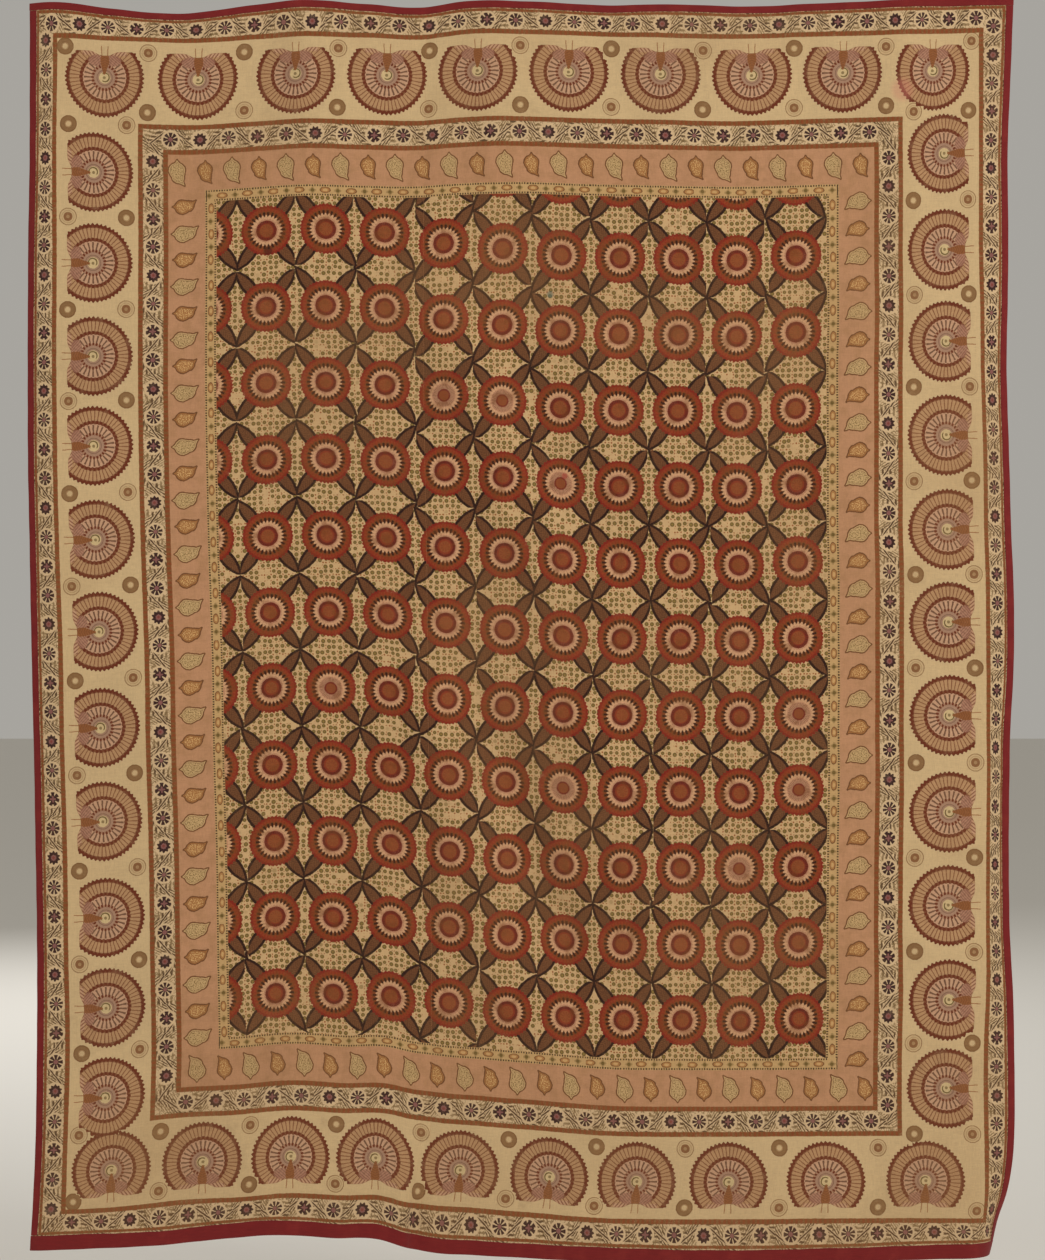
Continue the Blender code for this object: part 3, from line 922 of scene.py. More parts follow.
class Dyer:
    """One cotton material in the making, and its colour so far."""

    def __init__(self, name, settings):
        self.material = bpy.data.materials.new(name)
        self.material.use_nodes = True
        self.tree = self.material.node_tree
        self.dyes = settings.dyes
        self.place = uv_place(self.tree, "Print")
        self.colour = None

    def noise(self, kind):
        return Mark(self.tree, noise(self.tree, self.place, kind).outputs[0])

    def thread(self, across, down):
        """A noise that is drawn out along the threads."""
        place = stretched(self.tree, self.place, across, down)
        return Mark(self.tree, noise(self.tree, place, THREAD).outputs[0])

    def ground(self, dye):
        self.colour = (*getattr(self.dyes, dye), 1.0)

    def stain(self, dye, share):
        """Lays a colour over what is there, as strongly as its share says."""
        node = self.tree.nodes.new("ShaderNodeMix")
        node.data_type = "RGBA"
        feed(node.inputs[0], share)
        feed(node.inputs[6], self.colour)
        feed(node.inputs[7], (*getattr(self.dyes, dye), 1.0))
        self.colour = Mark(self.tree, node.outputs[2])

    def wear(self, source, kind, where=None):
        """Stains the cloth where a source is high, and there only inside a share."""
        share = rise(source, kind.start, kind.end) * kind.strength
        self.stain(kind.dye, share if where is None else share * where)

    def brighten(self, amount):
        """Multiplies the colour by an amount around one."""
        node = self.tree.nodes.new("ShaderNodeVectorMath")
        node.operation = "SCALE"
        feed(node.inputs[0], self.colour)
        feed(node.inputs["Scale"], amount)
        self.colour = Mark(self.tree, node.outputs[0])


class Painter(Dyer):
    """A printed cotton material in the making, and what its motif is drawn by."""

    def __init__(self, name, settings):
        super().__init__(name, settings)
        print_place = shaken(self.tree, self.place, LINE_SHAKE, LINE_SHAKE_REACH)
        self.right, self.below, _ = parts(self.tree, print_place)
        motif_place = uv_place(self.tree, "Motif")
        motif_place = shaken(self.tree, motif_place, MOTIF_SHAKE, MOTIF_SHAKE_REACH)
        self.x, self.y, _ = parts(self.tree, motif_place)
        self.tone, _, _ = parts(self.tree, uv_place(self.tree, "Tone"))
        self.radius = length(self.x, self.y)
        self.angle = reckon("ARCTAN2", self.y, self.x)
        self.grain = self.noise(SPECKLE)
        self.patches = self.noise(PATCHES)
        loaded = self.grain + self.patches * INK_FROM_PATCHES + self.tone * INK_FROM_TONE
        self.ink = rise(loaded, *INK_RISE) * INK_SPREAD + (1 - INK_SPREAD)
        from_side = reckon("MINIMUM", self.right, PRINT_WIDTH - self.right)
        from_end = reckon("MINIMUM", self.below, PRINT_HEIGHT - self.below)
        self.inset = reckon("MINIMUM", from_side, from_end)
        beside = reckon("LESS_THAN", from_side, from_end)
        self.along = self.right + beside * (self.below - self.right)
        self.within = None

    def print(self, dye, share, strength=1.0):
        """Prints a dye, thinner where the block carried less of it."""
        inked = share * self.ink
        if strength != 1.0:
            inked = inked * strength
        if self.within is not None:
            inked = inked * self.within
        self.stain(dye, inked)


Ring = namedtuple("Ring", "radius lobes depth dye strength")
Rays = namedtuple("Rays", "inner outer count share dye strength")


def print_ring(p, ring):
    edge = ring.radius
    if ring.lobes:
        edge = cosine(p.angle * ring.lobes) * ring.depth + ring.radius
    p.print(ring.dye, inside(edge - p.radius), ring.strength)


def print_rays(p, rays):
    """Rays or beads: as many dark stretches round the circle, between two radii."""
    level = float(np.cos(np.pi * rays.share))
    ray = rise(cosine(p.angle * rays.count), level - RAY_SOFTNESS, level + RAY_SOFTNESS)
    band = (rays.outer - rays.inner) / 2
    middle = (rays.outer + rays.inner) / 2
    p.print(rays.dye, ray * inside(band - magnitude(p.radius - middle), SOFT_EDGE), rays.strength)


def print_rosette(p, shapes):
    for shape in shapes:
        if isinstance(shape, Ring):
            print_ring(p, shape)
        else:
            print_rays(p, shape)


Rod = namedtuple("Rod", "start end start_radius end_radius")


def outside_rod(p, rod, size=1.0):
    """How far a place lies outside a rod that tapers from one end to the other."""
    start = [place * size for place in rod.start]
    run = [place * size - first for place, first in zip(rod.end, start)]
    across, up = p.x - start[0], p.y - start[1]
    share = (across * run[0] + up * run[1]) * (1 / (run[0] ** 2 + run[1] ** 2))
    share = reckon("MINIMUM", reckon("MAXIMUM", share, 0.0), 1.0)
    away = length(across - share * run[0], up - share * run[1])
    return away - share * ((rod.end_radius - rod.start_radius) * size) - rod.start_radius * size


# Medallions, from the rim inwards. The block is nearly the same each time, but the middle differs.
MEDALLION_RIM = (
    Ring(0.0491, 42, 0.0012, "crimson", 1.0), Ring(0.0446, 42, 0.0008, "rust", 0.9),
    Rays(0.0372, 0.0448, 42, 0.34, "crimson", 0.55),
    Ring(0.0384, 26, 0.0014, "olive_brown", 0.85), Rays(0.0287, 0.0366, 26, 0.50, "umber", 0.95),
    Ring(0.0294, 26, -0.0021, "rose", 1.0), Rays(0.0262, 0.0318, 26, 0.20, "umber", 0.65),
    Ring(0.0232, 26, 0.0008, "dusty_pink", 0.75),
)
SMOOTH_CENTRE = (
    Ring(0.0202, 0, 0.0, "maroon", 1.0), Rays(0.0150, 0.0196, 30, 0.40, "umber", 0.45),
    Ring(0.0142, 0, 0.0, "rust", 0.60), Ring(0.0124, 0, 0.0, "russet", 0.85),
    Rays(0.0040, 0.0110, 12, 0.40, "maroon", 0.35),
)
RAYED_CENTRE = (
    Ring(0.0200, 0, 0.0, "maroon", 1.0), Rays(0.0148, 0.0212, 40, 0.42, "umber", 0.65),
    Ring(0.0146, 0, 0.0, "rust", 0.60), Ring(0.0112, 0, 0.0, "russet", 0.80),
    Rays(0.0030, 0.0096, 9, 0.40, "maroon", 0.35),
)
SUN_CENTRE = (
    Rays(0.0125, 0.0215, 40, 0.42, "umber", 0.60), Ring(0.0128, 40, 0.0008, "maroon", 1.0),
    Ring(0.0096, 0, 0.0, "russet", 0.75),
)
MEDALLION_WORN = Wear("olive_brown", 0.47, 0.70, 0.50)
MEDALLION_SPECKS = Wear("umber", 0.50, 0.66, 0.30)

FAN = (
    Ring(0.0766, 56, 0.0017, "dark_maroon", 1.0), Ring(0.0700, 56, 0.0012, "feather_line", 1.0),
    Rays(0.0488, 0.0684, 52, 0.74, "feather_tan", 0.95),
    Ring(0.0480, 36, 0.0008, "dark_maroon", 0.45), Rays(0.0424, 0.0496, 36, 0.56, "dark_maroon", 1.0),
    Ring(0.0424, 36, 0.0006, "feather_pink", 1.0), Rays(0.0256, 0.0408, 26, 0.40, "grey_green", 0.9),
    Ring(0.0256, 22, 0.0010, "dark_maroon", 0.45), Rays(0.0204, 0.0262, 22, 0.56, "dark_maroon", 1.0),
    Ring(0.0204, 24, 0.0006, "lavender", 1.0), Ring(0.0158, 0, 0.0, "grey_green", 0.6),
    Ring(0.0142, 0, 0.0, "lavender", 0.85), Ring(0.0112, 0, 0.0, "pale_yellow", 0.95),
)
SOLID_DISC = (
    Ring(0.0166, 0, 0.0, "disc_brown", 0.95), Ring(0.0142, 0, 0.0, "disc_rim", 0.25),
    Ring(0.0086, 0, 0.0, "disc_brown", 0.4), Ring(0.0072, 0, 0.0, "disc_rim", 0.9),
    Ring(0.0050, 0, 0.0, "cream", 0.9),
)
PALE_DISC = (
    Ring(0.0172, 0, 0.0, "disc_brown", 0.85), Ring(0.0157, 0, 0.0, "cream", 0.85),
    Ring(0.0124, 0, 0.0, "disc_rim", 0.7), Ring(0.0112, 0, 0.0, "cream", 0.7),
    Ring(0.0088, 0, 0.0, "disc_rust", 0.95), Ring(0.0034, 0, 0.0, "disc_rim", 0.9),
)
FLOWERS = {
    "club_flower": (
        Rays(0.0045, 0.0138, 8, 0.74, "flower_dark", 1.0), Ring(0.0056, 0, 0.0, "flower_dark", 1.0),
        Ring(0.0044, 0, 0.0, "mauve", 0.9),
    ),
    "ray_flower": (
        Rays(0.0034, 0.0138, 9, 0.66, "flower_dark", 1.0), Ring(0.0048, 0, 0.0, "flower_dark", 0.8),
        Ring(0.0038, 0, 0.0, "mauve", 0.9),
    ),
    "scalloped_flower": (
        Ring(0.0122, 10, 0.0016, "flower_dark", 1.0), Ring(0.0056, 10, 0.0006, "mauve", 0.9),
        Ring(0.0026, 0, 0.0, "flower_red", 0.9),
    ),
    "lobed_flower": (
        Rays(0.0040, 0.0136, 7, 0.68, "flower_dark", 1.0), Ring(0.0082, 4, 0.0026, "flower_dark", 1.0),
        Ring(0.0046, 4, 0.0020, "mauve", 0.85),
    ),
}

# A leaf's dark rim lies between these depths. Its veins are so many radians a metre apart.
LEAF_RIM = (0.0044, 0.0062)
VEINS_ASIDE = 1500.0
VEINS_ALONG = 900.0
VEINS_SHAKE = 6.0
VEIN_RISE = (0.2, 1.0)


def print_leaves(p):
    """A quarter of four leaves, towards the corner where four blocks meet."""
    from_corner = magnitude(p.x) * -1.0 + (COLUMN_PITCH / 2 + LEAF_OVERLAP)
    under_corner = magnitude(p.y) * -1.0 + (ROW_PITCH / 2 + LEAF_OVERLAP)
    along = from_corner * LEAF_ACROSS + under_corner * LEAF_DOWN
    aside = magnitude(from_corner * LEAF_DOWN - under_corner * LEAF_ACROSS)
    short = along * (-1 / LEAF_LENGTH) + 1.0
    edge = (short * short) * -LEAF_HALF_WIDTH + (LEAF_HALF_WIDTH + LEAF_TIP) - aside
    p.stain("umber", inside(edge) * (p.ink * 0.5 + 0.5))
    fill = rise(edge, *LEAF_RIM)
    p.print("chestnut", fill, 0.95)
    veins = sine(aside * VEINS_ASIDE + along * VEINS_ALONG + p.grain * VEINS_SHAKE)
    p.print("umber", rise(veins, *VEIN_RISE) * fill, 0.40)


# How close and how regular the scattered points lie, as a Voronoi texture has it, and the dots' radii
# as shares of the points' pitch.
Scatter = namedtuple("Scatter", "scale randomness")
Dot = namedtuple("Dot", "dye outer inner strength")
OLIVE_SCATTER = Scatter(88.0, 0.34)
RUSSET_SCATTER = Scatter(165.0, 0.35)
OLIVE_DOT = Dot("olive", 0.35, 0.25, 0.95)
OLIVE_DOT_MIDDLE = Dot("olive_pale", 0.17, 0.08, 0.45)
RUSSET_DOT = Dot("russet", 0.34, 0.22, 1.0)
DOT_SIZE_SPREAD = 0.08
LEFT_OUT_DOTS = (0.08, 0.12)
BETWEEN_DOTS = (0.42, 0.50)


def scattered(p, scatter):
    """How far a place lies from the nearest of many scattered points, and two numbers of that point."""
    node = p.tree.nodes.new("ShaderNodeTexVoronoi")
    node.voronoi_dimensions = "2D"
    p.tree.links.new(p.place, node.inputs["Vector"])
    node.inputs["Scale"].default_value = scatter.scale
    node.inputs["Randomness"].default_value = scatter.randomness
    pick, size, _ = parts(p.tree, node.outputs["Color"])
    return Mark(p.tree, node.outputs["Distance"]), pick, size


def print_ground_dots(p):
    """Olive dots with a lighter middle, and small russet ones between them."""
    distance, pick, size = scattered(p, OLIVE_SCATTER)
    reach = distance + size * -DOT_SIZE_SPREAD
    there = rise(pick, *LEFT_OUT_DOTS)
    for dot in (OLIVE_DOT, OLIVE_DOT_MIDDLE):
        p.print(dot.dye, rise(reach, dot.outer, dot.inner) * there, dot.strength)
    small, _, _ = scattered(p, RUSSET_SCATTER)
    between = rise(reach, *BETWEEN_DOTS)
    spot = rise(small, RUSSET_DOT.outer, RUSSET_DOT.inner) * between
    p.print(RUSSET_DOT.dye, spot, RUSSET_DOT.strength)


def paint_field(p, centre):
    p.ground("field_ground")
    print_ground_dots(p)
    print_leaves(p)
    print_rosette(p, MEDALLION_RIM + centre)
    medallion = inside(MEDALLION_RADIUS - p.radius, WIDE_EDGE)
    p.wear(p.patches, MEDALLION_WORN, medallion)
    p.wear(p.grain, MEDALLION_SPECKS, medallion)


LINE_HALF_WIDTH = 0.0047
OUTERMOST_HALF_WIDTH = 0.0028
DASH_INSET = 0.0006
DASH_RISE = (-0.3, 0.3)
LINE_WEAR_INSET = 0.0008
LINE_WEAR = (0.46, 0.62)


def print_line(p, inset, half_width=LINE_HALF_WIDTH):
    """A line round the hanging, in turns rust and olive brown, and uneven along its edges."""
    away = half_width - magnitude(p.inset - inset)
    p.print("line_brown", inside(away, SOFT_EDGE), 1.0)
    dashes = rise(cosine(p.along * (2 * np.pi / DASH_PITCH)), *DASH_RISE)
    p.print("rust", dashes * inside(away - DASH_INSET), 0.55)
    p.print("umber", inside(away - LINE_WEAR_INSET) * rise(p.grain, *LINE_WEAR), 0.35)


# The guards' vine: a stem in a clear channel, in dark hatching, in lighter hatching.
CLEAR_RADIUS = 0.0166
HALO_RADIUS = 0.0158
HALO_RISE = (0.0026, 0.0016)
SCROLL_RISE = (0.060, 0.030)
HATCHING_ALONG = 620.0
HATCHING_ASIDE = 760.0
HATCHING_SHAKE = 6.0
HATCHING_RISE = (-0.3, 0.4)
LIGHT_HATCHING_REACH = 0.0240
DARK_HATCHING_REACH = 0.0120
CHANNEL_HALF_WIDTH = 0.0036
STEM_HALF_WIDTH = 0.0018


def paint_guard(p, flower):
    """A flower, and a hatched vine that passes it above and the next one below."""
    p.ground("guard_ground")
    turns = (1.0, -1.0)[MOTIF_ORDER["outer_guard"].index(flower) % 2]
    stem = p.y - cosine(p.x * (np.pi / GUARD_PITCH)) * (VINE_SWING * turns)
    beside = magnitude(stem)
    away = inside(p.radius - CLEAR_RADIUS, WIDE_EDGE)
    scroll = rise(magnitude(p.noise(WINDING) - 0.5), *SCROLL_RISE)
    p.print("vine", scroll * away, 0.75)
    hatching = p.x * HATCHING_ALONG + stem * (HATCHING_ASIDE * turns) + p.patches * HATCHING_SHAKE
    hatching = rise(sine(hatching), *HATCHING_RISE)
    p.print("vine", hatching * inside(LIGHT_HATCHING_REACH - beside, VINE_EDGE) * away, 0.70)
    p.print("vine_dark", hatching * inside(DARK_HATCHING_REACH - beside, WIDE_EDGE) * away, 0.80)
    p.print("guard_ground", inside(CHANNEL_HALF_WIDTH - beside) * away, 0.85)
    p.print("vine_dark", inside(STEM_HALF_WIDTH - beside) * away, 1.0)
    p.print("guard_ground", rise(magnitude(p.radius - HALO_RADIUS), *HALO_RISE), 0.95)
    print_rosette(p, FLOWERS[flower])
    for line in (ZONES[1].start, ZONES[2].start, ZONES[3].start):
        print_line(p, line)
    print_line(p, OUTERMOST_LINE, OUTERMOST_HALF_WIDTH)


def paint_peacock_zone(p, motif):
    p.ground("cream")
    if motif == "solid_disc":
        print_rosette(p, SOLID_DISC)
    elif motif == "pale_disc":
        print_rosette(p, PALE_DISC)
    else:
        print_peacock(p)
    for line in (ZONES[1].start, ZONES[2].start):
        print_line(p, line)


# The bird's parts on its fan: up is towards the fan's flat side, and aside is to both sides.
FLAT_SIDE = 0.0430
FLAT_SIDE_DROP = 0.0080
DROP_ASIDE = (0.004, 0.030)
FLANK_START = 0.0090
FLANK_END = 0.0430
FRINGE_DEPTH = 0.0078
FRINGE_ASIDE = 900.0
FRINGE_UP = 700.0
FRINGE_RISE = (0.0, 0.6)
WING_RADIUS = 0.0105
WING_NARROWING = 0.72
WING_ASIDE = 0.0125
WING_UP = 0.0330
RIBS_UP = 1100.0
RIBS_ASIDE = 1000.0
RIBS_SHAKE = 4.0
RIBS_RISE = (0.1, 0.8)
HOOK_RADIUS = 0.0084
HOOK_HALF_WIDTH = 0.0013
HOOK_RIGHT = 0.0004
HOOK_UP = 0.0008
HOOK_OPENS = (-0.0060, -0.0030)
HEAD_RADIUS = 0.0030
HEAD_LEFT = 0.0008
SHOULDERS = Rod((0.0, 0.0370), (0.0, 0.0290), 0.0088, 0.0086)
NECK = Rod((0.0, 0.0290), (-0.0010, 0.0080), 0.0086, 0.0020)
BARBS_UP = 1300.0
BARBS_ASIDE = 700.0
BARBS_RISE = (0.2, 0.9)
LEG_HALF_WIDTH = 0.0009
LEG_ASIDE = 0.0030
LEG_SPLAY = 0.06
LEG_START = 0.0400
LEG_END = 0.0620


def print_peacock(p):
    """A fan seen from the front, with the body and the feet at its flat outer side."""
    beside = magnitude(p.x)
    cut = rise(beside, *DROP_ASIDE) * FLAT_SIDE_DROP + FLAT_SIDE
    p.within = inside(cut - p.y, SOFT_EDGE)
    print_rosette(p, FAN)
    flank = inside(beside - FLANK_START, WIDE_EDGE) * inside(FLANK_END - beside, WIDE_EDGE)
    fringe = inside(p.y - cut + FRINGE_DEPTH, FEATHER_EDGE) * flank
    p.print("feather_pink", fringe, 0.85)
    barbs = rise(cosine(beside * FRINGE_ASIDE - p.y * FRINGE_UP), *FRINGE_RISE)
    p.print("dark_maroon", fringe * barbs, 0.75)
    from_wing = length(beside * WING_NARROWING - WING_ASIDE, p.y - WING_UP)
    wing = inside(WING_RADIUS - from_wing, FEATHER_EDGE)
    p.print("wing_mauve", wing, 0.85)
    ribs = sine(p.y * RIBS_UP + beside * RIBS_ASIDE + p.patches * RIBS_SHAKE)
    p.print("grey_green", wing * rise(ribs, *RIBS_RISE), 0.55)
    from_hook = magnitude(length(p.x - HOOK_RIGHT, p.y - HOOK_UP) - HOOK_RADIUS)
    p.print("hook", inside(HOOK_HALF_WIDTH - from_hook) * rise(p.x, *HOOK_OPENS), 0.95)
    p.print("hook", inside(HEAD_RADIUS - length(p.x + HEAD_LEFT, p.y)), 0.75)
    outside_body = reckon("MINIMUM", outside_rod(p, SHOULDERS), outside_rod(p, NECK))
    body = inside(outside_body * -1.0)
    p.print("body_brown", body, 1.0)
    p.print("umber", body * rise(sine(p.y * BARBS_UP + beside * BARBS_ASIDE), *BARBS_RISE), 0.30)
    p.within = None
    leg = inside(LEG_HALF_WIDTH - magnitude(beside - LEG_ASIDE - p.y * LEG_SPLAY))
    p.print("body_brown", leg * inside(LEG_END - p.y) * inside(p.y - LEG_START), 0.85)


Paisley = namedtuple("Paisley", "size dye strength specks specks_inset")
Outline = namedtuple("Outline", "inset half_width strength")
PAISLEYS = {
    "pale_paisley": Paisley(1.0, "paisley_pale", 0.85, Wear("olive", 0.52, 0.57, 0.90), 0.0040),
    "ochre_paisley": Paisley(0.88, "ochre", 0.90, Wear("ochre_light", 0.51, 0.57, 1.0), 0.0036),
}
PAISLEY_RODS = (
    Rod((-0.0010, 0.0045), (0.0010, -0.0075), 0.0172, 0.0130),
    Rod((-0.0010, 0.0090), (-0.0008, 0.0262), 0.0122, 0.0012),
    Rod((0.0040, -0.0130), (0.0135, -0.0245), 0.0080, 0.0014),
)
PAISLEY_LINES = (Outline(0.0038, 0.0006, 0.55), Outline(0.0004, 0.0013, 1.0))
PAISLEY_BLEND = 0.004
PINK_SOIL = Wear("soil", 0.40, 0.72, 0.30)


def paint_paisley(p, motif):
    p.ground("pink_ground")
    p.wear(p.patches, PINK_SOIL)
    paisley = PAISLEYS[motif]
    outside, *others = (outside_rod(p, rod, paisley.size) for rod in PAISLEY_RODS)
    for other in others:
        outside = reckon("SMOOTH_MIN", outside, other, PAISLEY_BLEND)
    shape = outside * -1.0
    p.print(paisley.dye, inside(shape), paisley.strength)
    specks = rise(p.grain, paisley.specks.start, paisley.specks.end)
    p.print(paisley.specks.dye, specks * inside(shape - paisley.specks_inset), paisley.specks.strength)
    for line in PAISLEY_LINES:
        away = magnitude(shape - line.inset)
        p.print("paisley_line", inside(line.half_width - away), line.strength)
    print_line(p, ZONES[3].start)


# The dotted border's ovals, dots, stars and two rows of beads. The ovals' rises are shares of their size.
OVAL_HALF_LENGTH = 0.0108
OVAL_HALF_HEIGHT = 0.0058
OVAL_RISE = (1.05, 0.95)
OVAL_LINE = 0.9
OVAL_LINE_RISE = (0.16, 0.06)
OVAL_MIDDLE_RISE = (0.50, 0.40)
SMALL_DOT_RADIUS = 0.0034
STAR_RADIUS = 0.0068
STAR_RISE = (0.000016, 0.000006)
BEADS_PER_MOTIF = 5
BEAD_RISE = (-0.40, 0.10)
BEAD_ROW_ASIDE = 0.0090
BEAD_HALF_WIDTH = 0.0017


def paint_dotted_border(p, motif):
    p.ground("buff_ground")
    if motif == "ochre_oval":
        shape = length(p.x * (1 / OVAL_HALF_LENGTH), p.y * (1 / OVAL_HALF_HEIGHT))
        p.print("ochre", rise(shape, *OVAL_RISE), 0.75)
        p.print("paisley_line", rise(magnitude(shape - OVAL_LINE), *OVAL_LINE_RISE), 0.9)
        p.print("ochre_light", rise(shape, *OVAL_MIDDLE_RISE), 0.7)
    else:
        p.print("olive", inside(SMALL_DOT_RADIUS - p.radius), 0.85)
        star = rise(magnitude(p.x * p.y), *STAR_RISE) * inside(STAR_RADIUS - p.radius)
        p.print("olive", star, 0.45)
    beads = rise(cosine(p.x * (2 * np.pi * BEADS_PER_MOTIF / DOTTED_PITCH)), *BEAD_RISE)
    aside = magnitude(magnitude(p.inset - DOTTED_LINE) - BEAD_ROW_ASIDE)
    p.print("dot_brown", beads * inside(BEAD_HALF_WIDTH - aside), 1.0)


def paint_motif(p, motif):
    if motif.endswith("medallion"):
        centres = {"smooth": SMOOTH_CENTRE, "rayed": RAYED_CENTRE, "sun": SUN_CENTRE}
        paint_field(p, centres[motif.split("_")[0]])
    elif motif in FLOWERS:
        paint_guard(p, motif)
    elif motif in PAISLEYS:
        paint_paisley(p, motif)
    elif motif in ("small_dot", "ochre_oval"):
        paint_dotted_border(p, motif)
    else:
        paint_peacock_zone(p, motif)


# Single spots, each on the motifs whose names end with its zone.
Spot = namedtuple("Spot", "right down radius dye strength zone")
SPOTS = (
    Spot(1.0130, 0.5560, 0.009, "stain_blue", 0.60, "medallion"),
    Spot(1.0420, 0.9040, 0.008, "stain_red", 0.60, "medallion"),
    Spot(0.4640, 0.4680, 0.012, "umber", 0.60, "medallion"),
    Spot(1.7020, 0.1590, 0.030, "stain_pink", 0.35, "disc"),
    Spot(1.7020, 0.1590, 0.030, "stain_pink", 0.35, "peacock"),
)
SPOT_CORE = 0.4

CLOUDY_SOIL = Wear("soil", 0.42, 0.78, 0.20)
# Darker towards the foot: the soil dye laid over the print's lowest stretch, from 1.75 m down.
FOOT_DARKENING = Wear("soil", 1.75, 2.40, 0.08)
FINE_SOIL = Wear("soil", 0.52, 0.64, 0.16)
BLOT_SOIL = Wear("soil_dark", 0.60, 0.82, 0.16)
FINE_THREAD_CONTRAST = 0.22
THICK_THREAD_CONTRAST = 0.13
GRAIN_CONTRAST = 0.34
TONE_CONTRAST = 0.04


def age(p, motif):
    """Soiling, fading, darkening towards the foot and the cloth's own threads, over the whole print."""
    p.wear(p.noise(BROAD_SOIL), CLOUDY_SOIL)
    # Darker towards the foot of the print.
    p.wear(p.below, FOOT_DARKENING)
    p.wear(p.grain, FINE_SOIL)
    p.wear(p.noise(BLOTS), BLOT_SOIL)
    for spot in SPOTS:
        if motif.endswith(spot.zone):
            away = length(p.right - spot.right, p.below - spot.down)
            p.stain(spot.dye, rise(away, spot.radius, spot.radius * SPOT_CORE) * spot.strength)
    threads = p.thread(*FINE_THREAD) + p.thread(*FINE_THREAD[::-1])
    thick = p.thread(*THICK_THREAD) + p.thread(*THICK_THREAD[::-1])
    uneven = (threads - 1.0) * FINE_THREAD_CONTRAST + (thick - 1.0) * THICK_THREAD_CONTRAST
    uneven = uneven + (p.grain - 0.5) * GRAIN_CONTRAST + (p.tone - 0.5) * TONE_CONTRAST
    p.brighten(uneven + 1.0)
    return threads


COTTON_ROUGHNESS = 0.88
COTTON_SPECULAR = 0.2
COTTON_SHEEN = 0.06
SHEEN_ROUGHNESS = 0.6
THREAD_ROUGHNESS = 0.8
THREAD_HEIGHT = 0.0002
PRINTED_RELIEF = 0.35
PLAIN_RELIEF = 0.4
REVERSE_SHARE = 0.66
STRIP_WORN = Wear("binding_worn", 0.45, 0.80, 0.45)
STRIP_THREAD_CONTRAST = 0.35


def finish_cotton(p, threads, strength):
    shader = p.tree.nodes["Principled BSDF"]
    feed(shader.inputs["Base Color"], p.colour)
    shader.inputs["Roughness"].default_value = COTTON_ROUGHNESS
    shader.inputs["Specular IOR Level"].default_value = COTTON_SPECULAR
    shader.inputs["Sheen Weight"].default_value = COTTON_SHEEN
    shader.inputs["Sheen Roughness"].default_value = SHEEN_ROUGHNESS
    bump = p.tree.nodes.new("ShaderNodeBump")
    bump.inputs["Strength"].default_value = strength
    bump.inputs["Distance"].default_value = THREAD_HEIGHT
    feed(bump.inputs["Height"], threads)
    p.tree.links.new(bump.outputs[0], shader.inputs["Normal"])
    return p.material


def cotton_material(motif, is_reverse, settings):
    name = f"Cotton {motif.replace('_', ' ')}" + (" reverse" if is_reverse else "")
    if name in bpy.data.materials:
        return bpy.data.materials[name]
    painter = Painter(name, settings)
    paint_motif(painter, motif)
    threads = age(painter, motif)
    if is_reverse:
        painter.stain("reverse_ground", REVERSE_SHARE)
    return finish_cotton(painter, threads, PRINTED_RELIEF)


def plain_material(name, dye, settings):
    """A plain cotton: one dye, faded in patches."""
    if name in bpy.data.materials:
        return bpy.data.materials[name]
    dyer = Dyer(name, settings)
    dyer.ground(dye)
    dyer.wear(dyer.noise(WORN_PATCHES), STRIP_WORN)
    threads = dyer.thread(*STRIP_THREAD)
    dyer.brighten((threads - 0.5) * STRIP_THREAD_CONTRAST + 1.0)
    return finish_cotton(dyer, threads, PLAIN_RELIEF)


def thread_material(name, dye, settings):
    if name in bpy.data.materials:
        return bpy.data.materials[name]
    material = bpy.data.materials.new(name)
    material.use_nodes = True
    shader = material.node_tree.nodes["Principled BSDF"]
    shader.inputs["Base Color"].default_value = (*getattr(settings.dyes, dye), 1.0)
    shader.inputs["Roughness"].default_value = THREAD_ROUGHNESS
    return material


# The crimson strips that bind the edges, and every stitch.
def mitred_normals(line, aside):
    """Offsets of a line's points that keep its straight stretches parallel, towards the cloth's back."""
    run = np.diff(line, axis=0)
    flank = np.cross((aside[1:] + aside[:-1]) / 2, run)
    flank = flank / np.linalg.norm(flank, axis=1, keepdims=True)
    before = np.concatenate([flank[:1], flank])
    after = np.concatenate([flank, flank[-1:]])
    return (before + after) / (1 + (before * after).sum(axis=1, keepdims=True))


def strip_profile(width, settings):
    """Places across a folded strip, as (distance in from the fold, distance behind the cloth)."""
    offset = settings.binding_offset
    centre = offset + settings.binding_thickness / 2
    inward = np.linspace(width, centre, STRIP_LEG_STEPS)
    turn = np.linspace(0, np.pi, STRIP_TURN_STEPS)[1:-1]
    front = [(place, -offset) for place in inward]
    fold = [(centre - offset * np.sin(a), -offset * np.cos(a)) for a in turn]
    back = [(place, offset) for place in inward[::-1]]
    return [*front, *fold, *back]


def uneven_width(places, width):
    """How wide a strip is at each place, since it was turned in by hand."""
    share = 1 - HAND_SHARE
    for wave in HAND:
        share = share + wave.rise * np.sin(2 * np.pi * places / wave.length_across + wave.start)
    return width * share


def strip_side(name):
    """How a strip lies on the flat cloth: its width, its ends, and its flat places."""
    if name == "binding_top":
        return TOP_STRIP, 0.0, WIDTH, lambda along, inward: (along, inward)
    if name == "binding_bottom":
        return FOOT_STRIP, WIDTH, 0.0, lambda along, inward: (along, HEIGHT - inward)
    start, end = TOP_STRIP + STRIP_GAP, HEIGHT - FOOT_STRIP - STRIP_GAP
    if name == "binding_left":
        return SIDE_STRIP, end, start, lambda along, inward: (inward, along)
    return SIDE_STRIP, start, end, lambda along, inward: (WIDTH - inward, along)


